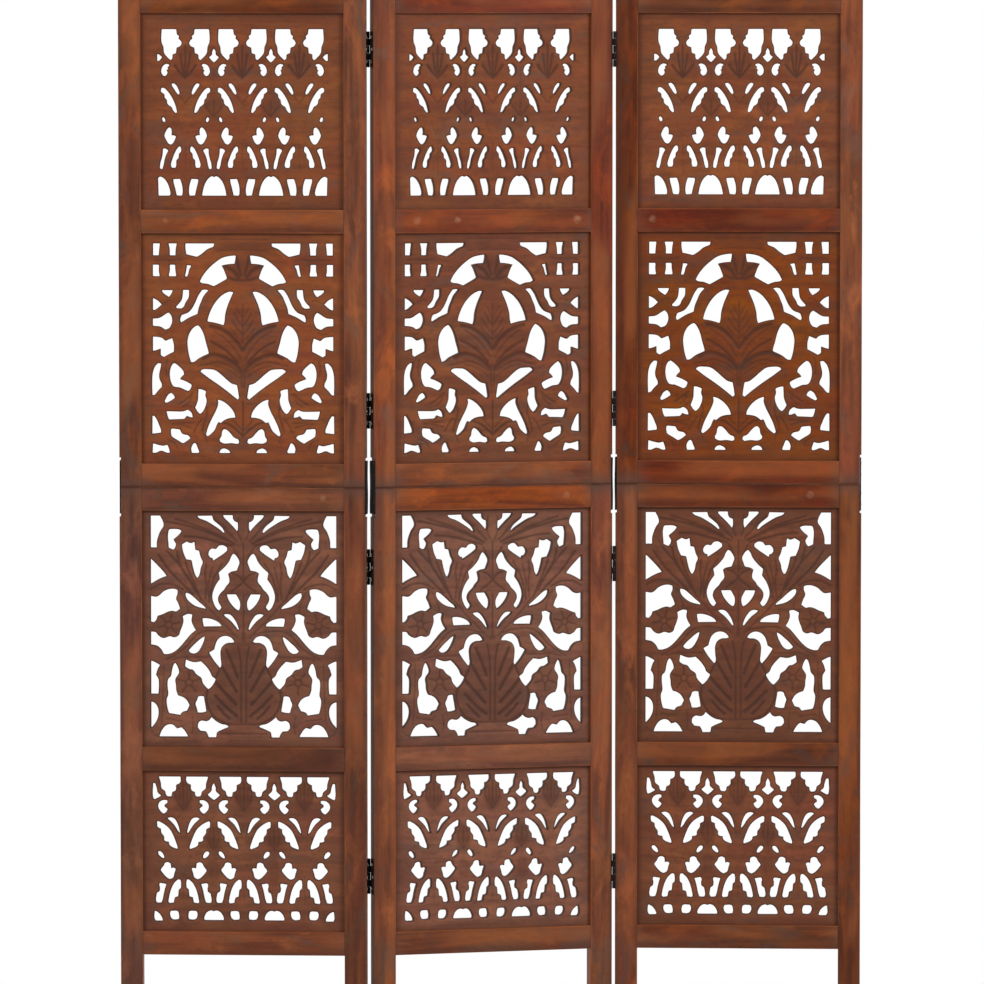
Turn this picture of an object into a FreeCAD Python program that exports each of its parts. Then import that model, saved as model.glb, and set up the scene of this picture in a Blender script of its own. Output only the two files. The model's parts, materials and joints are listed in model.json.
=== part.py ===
import FreeCAD, Part
import math
import os
import re

# A folding screen of three hinged leaves. Each leaf is two wooden frames, one above the other,
# joined edge to edge by flat iron straps. Every frame holds two pierced and carved panels in its grooves.
# It stands in a shallow zigzag, +Z up, with the origin under the middle of its outline.
# A leaf's own axes: x along its width from the left edge, y from its front face to its back, z up.

Vector, Rotation, Placement = FreeCAD.Vector, FreeCAD.Rotation, FreeCAD.Placement
UP = Vector(0, 0, 1)

SIZES = {
    # leaf and timber
    "leaf_width": 400, "leaf_thickness": 25, "stile_face": 36, "rail_face": 38, "foot_height": 88,
    # clear openings, from the lowest to the highest
    "low_trees_height": 262, "vase_height": 384, "bud_height": 372, "tall_trees_height": 316,
    # grooves, tenons and boards
    "groove_width": 10.4, "groove_depth": 8, "tenon_clearance": 0.1, "tenon_end_gap": 0.5,
    "board_thickness": 10, "board_end_gap": 0.5, "low_trees_margin": 16.25, "tall_trees_margin": 26,
    # straps that join the two frames of a leaf
    "strap_length": 86, "strap_width": 20, "strap_thickness": 2, "rebate_length": 96, "rebate_depth": 2.4,
    # hinges
    "hinge_gap": 3.6, "hinge_length": 58, "plate_depth": 20, "plate_thickness": 1.2,
    "barrel_clearance": 0.25, "knuckle_gap": 0.3, "pin_radius": 1.5, "pin_clearance": 0.05,
    # hinge middles: below the top, above and below the meeting line of the frames, above the floor
    "top_hinge_drop": 96, "upper_hinge_rise": 123, "lower_hinge_drop": 130, "foot_hinge_rise": 215,
    # angles of the zigzag, in degrees
    "centre_turn_angle": 14.1, "left_fold_angle": 18.2, "right_fold_angle": 17.8,
    # how far a cutting block runs past the wood
    "overrun": 5,
}
KNUCKLES = 5
BARREL_SIDES = 8
BORE_SIDES = 6
MODULES = 3

# Outlines of the pierced holes. A table's numbers are shares of the opening, counted in grid steps:
# across from the line on which the outline is mirrored, and up from the opening's lower edge.
# Grid steps in half of the mirrored width, and in the opening's height.
TALL_TREES_GRID_SHARES = (46, 316)
LOW_TREES_GRID_SHARES = (49.25, 262)
BUD_GRID_SHARES = (164, 372)
VASE_GRID_SHARES = (164, 384)

# One half of a tree. Six halves stand side by side.
TALL_TREE_SHARES = [
    [(14, 290.5), (38.8, 290.5), (38.5, 266), (24.5, 240.5), (5.8, 268)],
    [(14, 156), (22.5, 183), (39.5, 196), (31, 172)],
    [(26, 132.5), (34.6, 119), (24, 104.8), (16, 118.5)],
    [(7.5, 101), (14, 98.5), (24, 68), (15.5, 68)],
]
# Half of a hole that lies across the line between two trees, and its cut form at the panel's edge.
TALL_TREE_BETWEEN_SHARES = [
    [(46, 259), (38, 245.5), (46, 237)],
    [(40, 53.5), (31, 42), (26, 22.6)],
]
TALL_TREE_EDGE_SHARES = [
    [(46, 53.5), (37, 51), (26, 22.6), (46, 22.6)],
]
LOW_TREE_SHARES = [
    [(5, 251), (39.5, 251), (36, 233), (24, 219.2), (12.5, 235)],
    [(11, 134), (18, 158), (42.5, 178), (33, 151)],
    [(26.5, 111.5), (37, 98), (23, 84.2), (14, 101)],
    [(5, 83.3), (15, 77), (24.7, 45.3), (13, 52)],
]
LOW_TREE_BETWEEN_SHARES = [
    [(49.25, 240.5), (39.5, 221.8), (49.25, 213.6)],
    [(41, 32.5), (33.8, 18)],
]
LOW_TREE_EDGE_SHARES = [
    [(49.25, 32.5), (41, 32), (33.8, 18), (49.25, 18)],
]
# The right half of the panel with a great bud inside a pointed ring.
BUD_SHARES = [
    [(134, 355.4), (145.5, 355.4), (145.5, 336.4), (135.5, 336.4)],
    [(108, 355.4), (119.5, 355.4), (119, 336.4), (109, 336.4)],
    [(46.1, 355.4), (93, 355.4), (91.5, 338), (74.5, 334)],
    [(135, 321), (145.9, 321), (145.9, 302.6), (135, 302.6)],
    [(109, 321), (119, 321), (120, 302.6), (108, 302.6)],
    [(11.5, 336), (50, 321), (69.9, 294), (47.5, 286.6), (25.5, 299), (34.5, 320), (12.5, 323)],
    [(15.5, 277), (41, 265), (57.9, 229.6), (31.5, 223.6), (27, 250)],
    [(72.5, 223.6), (88, 207), (89.5, 186), (82.5, 164), (55.5, 178.5)],
    [(56, 280.5), (66.5, 280), (81, 252), (101.5, 238), (100.5, 228), (74, 241.5)],
    [(87.1, 280.4), (97.1, 280.4), (108.3, 252), (98, 251.5)],
    [(120.5, 244), (146.1, 234), (146.1, 222), (116, 221)],
    [(114, 202.5), (146.1, 204), (146.1, 182.5), (130, 173), (112, 181)],
    [(134, 161.6), (147.3, 140), (147.3, 110.5), (132, 127)],
    [(110.5, 162.4), (118.5, 145), (112.5, 124.4), (89.5, 117), (83, 127), (97, 142)],
    [(69.5, 148.8), (45.5, 151), (9.5, 127), (7, 104)],
    [(60, 117.5), (72.5, 120.4), (77.9, 90), (67, 82)],
    [(82, 75), (89.5, 86), (124.5, 84.4), (120.5, 71)],
    [(145, 77), (147.5, 48), (133, 50)],
    [(41.5, 103.6), (60.5, 45), (41, 66), (12.5, 74.4), (24, 94)],
    [(31.5, 55.6), (38, 36), (7, 32), (8, 39)],
    [(103, 55.5), (117, 55), (98.5, 32.4), (86, 41.5)],
    [(121, 30), (147, 31.5), (147, 17), (120, 17)],
]
# The right half of the panel with a vase, flowers and two spread leaves.
VASE_SHARES = [
    [(17, 376.4), (33.5, 376.4), (10.5, 350), (9, 365)],
    [(50.5, 375.5), (75, 375), (32, 347)],
    [(133, 375.2), (150.5, 375.2), (150.5, 323.5), (138, 323.5)],
    [(100.5, 351), (121, 353.5), (121.5, 323), (110, 326), (113, 338)],
    [(79.5, 333), (100.3, 329), (93.3, 304.5), (84, 303), (74.8, 274), (66, 300)],
    [(29, 327), (56.5, 317), (50, 303), (27, 319)],
    [(16.5, 314), (40.5, 284), (51, 246), (42.5, 222.5), (36, 227), (41, 242), (23, 268), (23.5, 283),
     (7, 298)],
    [(10, 248), (27.5, 248), (8, 221.5)],
    [(52, 208), (66.5, 209.3), (65, 195.5), (35.5, 196)],
    [(112, 256.5), (139, 244.5), (150.5, 245), (150.5, 203), (138, 213), (104, 223), (109, 241)],
    [(83, 215.5), (99, 213), (119, 177.5), (142, 186), (150.5, 187), (150.5, 166), (127, 150.3), (77.5, 190)],
    [(16, 171), (30, 180.5), (46, 166), (56.5, 153), (39, 128.5), (36, 161)],
    [(63, 180), (88.5, 158.5), (82, 151.8), (71, 159)],
    [(69, 139), (94, 141), (95, 127), (78, 121), (58, 93.5), (45.5, 110.5)],
    [(111, 137), (122, 111), (125, 77), (122, 54.5), (103.5, 51.5), (88, 68), (108, 84), (108, 117)],
    [(150.5, 140), (136, 133), (138.5, 86), (150.5, 86)],
    [(150.5, 73.5), (139.5, 62), (141, 43), (150.5, 31)],
    [(64, 82.5), (76, 81), (76, 56), (61, 57)],
    [(52.5, 48.5), (70, 42.5), (75, 31), (57, 15.5), (45, 15.5), (24.5, 32.5)],
    [(90, 16.5), (102, 31.5), (120, 37), (137.5, 16.5)],
    [(150.5, 306), (124.5, 277.5), (150.5, 264.8)],
]
MIRRORED_PANELS = {
    "bud_panel": (BUD_SHARES, BUD_GRID_SHARES),
    "vase_panel": (VASE_SHARES, VASE_GRID_SHARES),
}
TREE_PANELS = {
    "low_trees_panel": (LOW_TREE_SHARES, LOW_TREE_BETWEEN_SHARES, LOW_TREE_EDGE_SHARES,
                        LOW_TREES_GRID_SHARES, "low_trees_margin"),
    "tall_trees_panel": (TALL_TREE_SHARES, TALL_TREE_BETWEEN_SHARES, TALL_TREE_EDGE_SHARES,
                         TALL_TREES_GRID_SHARES, "tall_trees_margin"),
}


doc = FreeCAD.newDocument("jali_screen")
sheet = doc.addObject("Spreadsheet::Sheet", "Sizes")
for row, (alias, value) in enumerate(SIZES.items(), start=1):
    sheet.set(f"A{row}", alias)
    sheet.set(f"B{row}", str(value))
    sheet.setAlias(f"B{row}", alias)
doc.recompute()

finished = []


def size(alias):
    """The number that the sheet holds under this alias."""
    return float(sheet.get(alias))


def bound(text):
    """An expression on the sheet, from a sum written with the aliases alone."""
    return re.sub(r"[a-z]\w+", lambda word: "Sizes." + word.group(0), text)


# Lengths and heights that follow from the sheet, as sums of its aliases
BAY = "(leaf_width - 2 * stile_face)"
MEETING = "(foot_height + 3 * rail_face + low_trees_height + vase_height)"
TOP = f"({MEETING} + 3 * rail_face + bud_height + tall_trees_height)"
GROOVE_FRONT = "(leaf_thickness - groove_width) / 2"
TENON_THICKNESS = "(groove_width - 2 * tenon_clearance)"
TENON_FRONT = f"(leaf_thickness - {TENON_THICKNESS}) / 2"
TENON_LENGTH = "(groove_depth - tenon_end_gap)"
STRAP_FRONT = "(leaf_thickness - strap_width) / 2"
STILE_LEFTS = {"left": "0", "right": "leaf_width - stile_face"}
STILE_SPANS = {"lower": ("0", MEETING), "upper": (MEETING, f"{TOP} - {MEETING}")}
GROOVE_SPANS = {"lower": ("foot_height", f"{MEETING} - foot_height"), "upper": STILE_SPANS["upper"]}
RAIL_NAMES = ("foot_rail", "middle_rail", "head_rail")
RAIL_HEIGHTS = {
    "lower": ("foot_height", "foot_height + rail_face + low_trees_height", f"{MEETING} - rail_face"),
    "upper": (MEETING, f"{MEETING} + rail_face + bud_height", f"{TOP} - rail_face"),
}
HINGE_MIDDLES = {
    "lower": ("foot_hinge_rise", f"{MEETING} - lower_hinge_drop"),
    "upper": (f"{MEETING} + upper_hinge_rise", f"{TOP} - top_hinge_drop"),
}
# The stile edges that carry hinge plates, with the face that the barrel stands behind or before
HINGED_EDGES = {("left", "right"): "back", ("centre", "left"): "back",
                ("centre", "right"): "front", ("right", "left"): "front"}


def block(name, corner, extent):
    """A straight block of the leaf, its corner and extent bound to the sheet."""
    piece = doc.addObject("Part::Box", name)
    for axis, place, side, length in zip("xyz", corner, ("Length", "Width", "Height"), extent):
        piece.setExpression(side, bound(length))
        piece.setExpression("Placement.Base." + axis, bound(place))
    return piece


def cut_away(name, wood, blocks):
    """The wood with blocks cut from it, as the sub-part of this name."""
    tool = doc.addObject("Part::Compound", name + "_cuts")
    tool.Links = blocks
    piece = doc.addObject("Part::Cut", name)
    piece.Base, piece.Tool = wood, tool
    return finish(piece, name)


def finish(piece, name):
    """Labels a sub-part and puts it on the list of those that are written."""
    piece.Label = name
    finished.append(piece)
    return piece


def stile(leaf, half, side):
    """An upright: grooved on its inner edge, rebated on its outer edge for the strap and the hinge plates."""
    name = f"{leaf}_{half}_{side}_stile"
    left, (bottom, length) = STILE_LEFTS[side], STILE_SPANS[half]
    wood = block(name + "_wood", (left, "0", bottom), ("stile_face", "leaf_thickness", length))
    groove_left = "stile_face - groove_depth" if side == "left" else f"{left} - overrun"
    groove = block(name + "_groove", (groove_left, GROOVE_FRONT, GROOVE_SPANS[half][0]),
                   ("groove_depth + overrun", "groove_width", GROOVE_SPANS[half][1]))
    rebate_left = "-overrun" if side == "left" else "leaf_width - rebate_depth"
    rebate = block(name + "_strap_rebate", (rebate_left, "-overrun", f"{MEETING} - rebate_length / 2"),
                   ("rebate_depth + overrun", "leaf_thickness + 2 * overrun", "rebate_length"))
    cuts = [groove, rebate]
    face = HINGED_EDGES.get((leaf, side))
    if face:
        plate_left = "-overrun" if side == "left" else "leaf_width - plate_thickness"
        plate_front = "leaf_thickness - plate_depth" if face == "back" else "-overrun"
        for count, middle in enumerate(HINGE_MIDDLES[half], start=1):
            cuts.append(block(f"{name}_plate_rebate_{count}",
                              (plate_left, plate_front, f"{middle} - hinge_length / 2"),
                              ("plate_thickness + overrun", "plate_depth + overrun", "hinge_length")))
    return cut_away(name, wood, cuts)


def rail(leaf, half, count):
    """A level rail: a tenon at each end fills the stiles' grooves, and a groove holds each panel it meets."""
    name = f"{leaf}_{half}_{RAIL_NAMES[count]}"
    bottom = RAIL_HEIGHTS[half][count]
    body = block(name + "_body", ("stile_face", "0", bottom), (BAY, "leaf_thickness", "rail_face"))
    tenons = block(name + "_tenons", (f"stile_face - {TENON_LENGTH}", TENON_FRONT, bottom),
                   (f"{BAY} + 2 * {TENON_LENGTH}", TENON_THICKNESS, "rail_face"))
    wood = doc.addObject("Part::MultiFuse", name + "_wood")
    wood.Shapes = [body, tenons]
    grooves = []
    if count > 0:
        grooves.append((f"{bottom} - overrun", "under"))
    if count < 2:
        grooves.append((f"{bottom} + rail_face - groove_depth", "upper"))
    cuts = [block(f"{name}_{where}_groove", ("0", GROOVE_FRONT, height),
                  ("leaf_width", "groove_width", "groove_depth + overrun")) for height, where in grooves]
    return cut_away(name, wood, cuts), body


def strap(leaf):
    """The two flat straps of a leaf, one in each outer edge, across the meeting line of the frames."""
    pair = doc.addObject("Part::Compound", f"{leaf}_joining_straps")
    pair.Links = [
        block(f"{leaf}_{side}_strap", (left, STRAP_FRONT, f"{MEETING} - strap_length / 2"),
              ("strap_thickness", "strap_width", "strap_length"))
        for side, left in (("left", "rebate_depth - strap_thickness"), ("right", "leaf_width - rebate_depth"))]
    return finish(pair, pair.Name)


def ring(points):
    """A closed flat outline in the leaf's face."""
    corners = [Vector(across, 0, up) for across, up in points]
    return Part.makePolygon(corners + corners[:1])


def mirrored(points):
    """An outline and its mirror image as two outlines."""
    return [points, [(-across, up) for across, up in points]]


def joined(points):
    """An outline that its mirror image completes."""
    return points + [(-across, up) for across, up in reversed(points) if across]


def shared(table, grid, half_width, height):
    """A table of outlines in real lengths, from shares counted in grid steps."""
    return [[(across / grid[0] * half_width, up / grid[1] * height) for across, up in points]
            for points in table]


def moved(points, across):
    """An outline moved along the leaf."""
    return [(here + across, up) for here, up in points]


def mirrored_holes(table, grid, width, height):
    """Holes of a panel that is alike left and right of its middle."""
    return [hole for points in shared(table, grid, width / 2, height) for hole in mirrored(points)]


def tree_holes(tree, between, edge, grid, margin, width, height):
    """Holes of a panel with a row of like trees, each alike left and right of its trunk."""
    half = (width - 2 * margin) / (2 * MODULES)
    holes = []
    for count in range(MODULES):
        trunk = (2 * count - MODULES + 1) * half
        for points in shared(tree, grid, half, height):
            holes += [moved(hole, trunk) for hole in mirrored(points)]
    for points in shared(between, grid, half, height):
        whole = joined([(across - half, up) for across, up in points])
        holes += [moved(whole, (2 * count - MODULES) * half) for count in range(1, MODULES)]
    for points in shared(edge, grid, half, height):
        holes += mirrored([(across + (MODULES - 1) * half, up) for across, up in points])
    return holes


def panel(leaf, name, rails, height_alias):
    """A board held in the grooves of the frame and sawn through in its pattern."""
    width, height = size("leaf_width") - 2 * size("stile_face"), size(height_alias)
    if name in MIRRORED_PANELS:
        holes = mirrored_holes(*MIRRORED_PANELS[name], width, height)
    else:
        *tables, margin = TREE_PANELS[name]
        holes = tree_holes(*tables, size(margin), width, height)
    held = size("groove_depth") - size("board_end_gap")
    side = width / 2 + held
    board = [(-side, -held), (side, -held), (side, height + held), (-side, height + held)]
    face = Part.makeFace([ring(outline) for outline in [board] + holes], "Part::FaceMakerBullseye")
    piece = doc.addObject("Part::Feature", f"{leaf}_{name}")
    solid = face.extrude(Vector(0, size("board_thickness"), 0))
    below = rails[0]
    solid.translate(Vector(size("leaf_width") / 2, (size("leaf_thickness") - size("board_thickness")) / 2,
                           below.Placement.Base.z + below.Height.Value))
    piece.Shape = solid
    return finish(piece, piece.Name)


def barrel_sizes():
    """Half the barrel across its flats, half one flat, and the distance of its axis from the leaf's face."""
    flat = size("hinge_gap") / 2 + size("plate_thickness")
    half_side = flat * math.tan(math.pi / BARREL_SIDES)
    return flat, half_side, math.hypot(flat, half_side) + size("barrel_clearance")


def knuckle(bottom, length):
    """One knuckle about the axis, with the strip that joins it to a plate on its left and below it in plan."""
    flat, half_side, stand_off = barrel_sizes()
    outline = [(-flat, -stand_off), (-flat, half_side), (-half_side, flat), (half_side, flat),
               (flat, half_side), (flat, -half_side), (-size("hinge_gap") / 2, -stand_off)]
    bore = size("pin_radius") + size("pin_clearance")
    reach = bore / math.cos(math.pi / BORE_SIDES)
    turns = [2 * math.pi * count / BORE_SIDES for count in range(BORE_SIDES)]
    hole = [(reach * math.cos(turn), reach * math.sin(turn)) for turn in turns]
    rings = [Part.makePolygon([Vector(x, y, bottom) for x, y in points + points[:1]])
             for points in (outline, hole)]
    return Part.makeFace(rings, "Part::FaceMakerBullseye").extrude(UP * length)


def hinge_plates(name, heights, first_knuckle):
    """Plates of one side of a row of hinges, each with every other knuckle."""
    flat, _, stand_off = barrel_sizes()
    pitch, gap = size("hinge_length") / KNUCKLES, size("knuckle_gap")
    plates = []
    for middle in heights:
        bottom = middle - size("hinge_length") / 2
        plate = Part.makeBox(size("plate_thickness"), size("plate_depth"), size("hinge_length"),
                             Vector(-flat, -stand_off - size("plate_depth"), bottom))
        knuckles = [knuckle(bottom + count * pitch + gap / 2, pitch - gap)
                    for count in range(first_knuckle, KNUCKLES, 2)]
        plates.append(plate.fuse(knuckles).removeSplitter())
    piece = doc.addObject("Part::Feature", name)
    piece.Shape = Part.makeCompound(plates)
    return finish(piece, name)


def hinge_pins(name, heights):
    """The pins of a row of hinges."""
    length = size("hinge_length")
    pins = [Part.makeCylinder(size("pin_radius"), length, Vector(0, 0, middle - length / 2))
            for middle in heights]
    piece = doc.addObject("Part::Feature", name)
    piece.Shape = Part.makeCompound(pins)
    return finish(piece, name)


def leaf_places():
    """Where the leaves stand: the centre leaf turned, the others folded about their hinge axes."""
    width, depth, half_gap = size("leaf_width"), size("leaf_thickness"), size("hinge_gap") / 2
    stand_off = barrel_sizes()[2]
    turns = {"centre": size("centre_turn_angle")}
    turns["left"] = turns["centre"] - size("left_fold_angle")
    turns["right"] = turns["centre"] - size("right_fold_angle")
    turn = {leaf: Rotation(UP, angle) for leaf, angle in turns.items()}
    # each hinge axis on the centre leaf and on the leaf that hangs from it
    axes = {"left": (Vector(-half_gap, depth + stand_off, 0), Vector(width + half_gap, depth + stand_off, 0)),
            "right": (Vector(width + half_gap, -stand_off, 0), Vector(-half_gap, -stand_off, 0))}
    origin = {"centre": Vector(0, 0, 0)}
    for leaf, (on_centre, on_leaf) in axes.items():
        origin[leaf] = turn["centre"].multVec(on_centre) - turn[leaf].multVec(on_leaf)
    corners = [origin[leaf] + turn[leaf].multVec(Vector(x, y, 0))
               for leaf in origin for x in (0, width) for y in (0, depth)]
    middle = Vector((min(p.x for p in corners) + max(p.x for p in corners)) / 2,
                    (min(p.y for p in corners) + max(p.y for p in corners)) / 2, 0)
    places = {leaf: Placement(origin[leaf] - middle, turn[leaf]) for leaf in origin}
    pins = {leaf: places["centre"].multVec(on_centre) for leaf, (on_centre, _) in axes.items()}
    return places, pins, turns


places, pins, turns = leaf_places()
rails = {}
for leaf in ("left", "centre", "right"):
    parts = []
    for half in ("lower", "upper"):
        parts += [stile(leaf, half, side) for side in ("left", "right")]
        for count in range(len(RAIL_NAMES)):
            piece, rails[leaf, half, count] = rail(leaf, half, count)
            parts.append(piece)
    parts.append(strap(leaf))
    doc.recompute()
    for name, half, count in (("low_trees_panel", "lower", 0), ("vase_panel", "lower", 1),
                              ("bud_panel", "upper", 0), ("tall_trees_panel", "upper", 1)):
        pair = rails[leaf, half, count], rails[leaf, half, count + 1]
        parts.append(panel(leaf, name, pair, name.replace("panel", "height")))
    for piece in parts:
        piece.Placement = places[leaf].multiply(piece.Placement)

# Hinge middles, measured from the rails
meeting = rails["centre", "upper", 0].Placement.Base.z
top = rails["centre", "upper", 2].Placement.Base.z + size("rail_face")
middles = [size("foot_hinge_rise"), meeting - size("lower_hinge_drop"),
           meeting + size("upper_hinge_rise"), top - size("top_hinge_drop")]
# A row's plates are drawn to the left of the axis and below it in plan, and the centre leaf's are their
# mirror image. The barrels of the left gap stand behind the leaves. Those of the right gap stand before
# them, so there the whole row is turned half round.
for gap, half_turn in (("left", 0), ("right", 180)):
    three = hinge_plates(f"{gap}_hinge_{gap}_plates", middles, 0)
    two = hinge_plates(f"{gap}_hinge_centre_plates", middles, 1)
    two.Shape = two.Shape.mirror(Vector(0, 0, 0), Vector(1, 0, 0))
    three.Placement = Placement(pins[gap], Rotation(UP, turns[gap] + half_turn))
    two.Placement = Placement(pins[gap], Rotation(UP, turns["centre"] + half_turn))
    row = hinge_pins(f"{gap}_hinge_pins", middles)
    row.Placement = Placement(pins[gap], Rotation(UP, turns[gap]))
doc.recompute()

faults = [piece.Name for piece in doc.Objects if {"Invalid", "Error"} & set(piece.State)]
faults += [piece.Label for piece in finished if piece.Shape.isNull() or not piece.Shape.isValid()]
if faults:
    raise SystemExit("not built: " + ", ".join(faults))

os.makedirs("parts", exist_ok=True)
for piece in finished:
    piece.Shape.exportStep(f"parts/{piece.Label}.step")
for gap, point in pins.items():
    print(f"{gap} hinge axis at x {point.x:.3f}, y {point.y:.3f}")
print(f"top {top:.1f}, meeting line {meeting:.1f}, sub-parts {len(finished)}")
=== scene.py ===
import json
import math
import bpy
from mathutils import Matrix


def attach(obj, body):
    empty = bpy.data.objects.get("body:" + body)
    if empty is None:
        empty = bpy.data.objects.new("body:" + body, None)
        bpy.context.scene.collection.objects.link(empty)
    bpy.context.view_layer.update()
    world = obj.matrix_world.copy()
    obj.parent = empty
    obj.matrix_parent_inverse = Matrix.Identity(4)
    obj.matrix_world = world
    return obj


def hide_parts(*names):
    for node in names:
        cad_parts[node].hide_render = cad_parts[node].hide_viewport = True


bl_info = {
    "name": "Folding jali screen",
    "version": (1, 0, 0),
    "blender": (4, 5, 0),
    "location": "View3D > Sidebar > Screen",
    "description": "Dresses a folding screen of pierced and carved leaves in stained wood and black iron",
    "category": "Add Mesh",
}

import bmesh
import bpy
import numpy as np
from bpy.props import FloatProperty, FloatVectorProperty, PointerProperty
from bpy.types import NodeSocket, Operator, Panel, PropertyGroup

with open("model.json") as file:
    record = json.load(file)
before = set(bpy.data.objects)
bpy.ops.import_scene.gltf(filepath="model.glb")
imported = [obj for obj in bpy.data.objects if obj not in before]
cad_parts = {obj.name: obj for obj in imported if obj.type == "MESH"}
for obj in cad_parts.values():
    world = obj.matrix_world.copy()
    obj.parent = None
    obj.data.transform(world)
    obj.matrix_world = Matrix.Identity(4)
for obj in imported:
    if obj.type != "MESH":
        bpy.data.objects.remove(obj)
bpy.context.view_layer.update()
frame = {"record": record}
JOINTS = {joint["name"]: joint for joint in frame["record"]["behaviour"]["joints"]}

MM = 0.001
LEAVES = ("left", "centre", "right")

# Sizes of the solid model, in millimetres
LEAF_WIDTH, LEAF_THICKNESS = 400.0, 25.0
STILE_FACE, RAIL_FACE, FOOT_HEIGHT = 36.0, 38.0, 88.0
OPENINGS = {"low_trees": 262.0, "vase": 384.0, "bud": 372.0, "tall_trees": 316.0}
MEETING = FOOT_HEIGHT + 3 * RAIL_FACE + OPENINGS["low_trees"] + OPENINGS["vase"]
TOP = MEETING + 3 * RAIL_FACE + OPENINGS["bud"] + OPENINGS["tall_trees"]
BAY = LEAF_WIDTH - 2 * STILE_FACE
GROOVE_WIDTH, GROOVE_DEPTH = 10.4, 8.0
TENON_THICKNESS, TENON_LENGTH = 10.2, 7.5
BOARD_THICKNESS, BOARD_HELD = 10.0, 7.5
REBATE_LENGTH, REBATE_DEPTH = 96.0, 2.4
STRAP_LENGTH, STRAP_WIDTH, STRAP_THICKNESS = 86.0, 23.0, 2.0
HINGE_GAP, HINGE_LENGTH, PLATE_DEPTH, PLATE_THICKNESS = 3.6, 58.0, 20.0, 1.2
BARREL_RADIUS, CURL_THICKNESS, PIN_RADIUS, KNUCKLES, KNUCKLE_GAP = 2.4, 0.9, 1.45, 5, 0.5
BARREL_FLAT, BARREL_SIDES, BARREL_CLEARANCE = 3.0, 8, 0.25
STAND_OFF = BARREL_FLAT / math.cos(math.pi / BARREL_SIDES) + BARREL_CLEARANCE
HINGE_MIDDLES = (215.0, MEETING - 130, MEETING + 123, TOP - 96)
FOLDS = {"left": math.radians(18.2), "centre": 0.0, "right": math.radians(17.8)}
RAIL_HEIGHTS = {
    "lower": (FOOT_HEIGHT, FOOT_HEIGHT + RAIL_FACE + OPENINGS["low_trees"], MEETING - RAIL_FACE),
    "upper": (MEETING, MEETING + RAIL_FACE + OPENINGS["bud"], TOP - RAIL_FACE),
}
RAIL_NAMES = ("foot_rail", "middle_rail", "head_rail")
PANEL_FLOORS = dict(zip(OPENINGS, [RAIL_HEIGHTS[half][rail] + RAIL_FACE
                                   for half in ("lower", "upper") for rail in (0, 1)]))
# Stile edges that carry hinge plates, with the face that the barrel stands at
HINGED_EDGES = {("left", "right"): "back", ("centre", "left"): "back",
                ("centre", "right"): "front", ("right", "left"): "front"}

# Sizes of the boards' finish: how much wider the saw left the holes of each design, how far from the face
# and from the back the sawn walls get points, how far the dark of a sawn edge reaches (darker stain in the
# end grain, and painted shade on the rims and walls), the depth at which the darkening in a carved line is
# full (pooling stain and painted shade), how dark the painted shade beside the frame is, with pooling stain,
# and how far it reaches, and the width and depth of a flower's ring and petals, the ring's radius and where
# the petals start
SAW_ROOM = {"low_trees": 0.5, "vase": 0.1, "bud": 0.1, "tall_trees": 0.0}
WALL_START, WALL_END, SAWN_REACH, FULL_CARVING = 3.2, 1.2, 1.6, 1.3
FRAME_SHADE_AND_STAIN, FRAME_SHADE_REACH = 1.1, 13.0
RING_LINE, PETAL_LINE, RING_RADIUS, PETAL_START = (2.2, 1.1), (2.4, 1.1), 5.5, 7.0

# Sizes of the bars' finish: the spacing of their rows of points, where their faces get points beside the
# edges, and how dark the stain beside an edge is and how far it reaches
ROW_SPACING, FACE_MARGINS = 14.0, (8.0, 3.4)
RAIL_STAIN = ((0.75, 7.0), (0.15, 3.0))
INNER_STAIN, OUTER_STAIN, HINGED_STAIN = (0.3, 3.0), (0.5, 5.0), (1.0, 8.0)
# How far wear reaches from an arris, stain from a joint, the painted shadow line and the smudge from the
# meeting of the frames, and the smudge from a joint
WEAR_REACH, JOINT_REACH, JOINT_SPREAD = 1.5, 2.5, 16.0
LINE_REACH, SMUDGE_REACH, SMUDGE_INWARD = 3.5, 20.0, 22.0
# How deep the discs of the pale spots lie and stand proud, and their height as a share of the rail's
SPOT_DEPTH, SPOT_PROUD, SPOT_HEIGHT = 0.5, 0.02, 0.55

# Sizes of the iron's finish: corners and softened edges, the screws' radius and dome, the places of the
# straps' screws (up, across) and of the hinges' screws (up, inward), and how far the straps' move out
PLATE_CORNER, PLATE_SOFT, STRAP_CORNER, STRAP_SOFT = 1.5, 0.2, 3.0, 0.35
STRAP_SCREW, HINGE_SCREW = (3.4, 0.3), (2.9, 0.8)
STRAP_SCREWS = ((-33.0, 1.4), (-15.0, -1.4), (15.0, 1.4), (33.0, -1.4))
HINGE_SCREWS = ((-20.0, 8.0), (0.0, 13.0), (20.0, 8.0))
SCREW_SHIFT = 3.5

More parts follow.
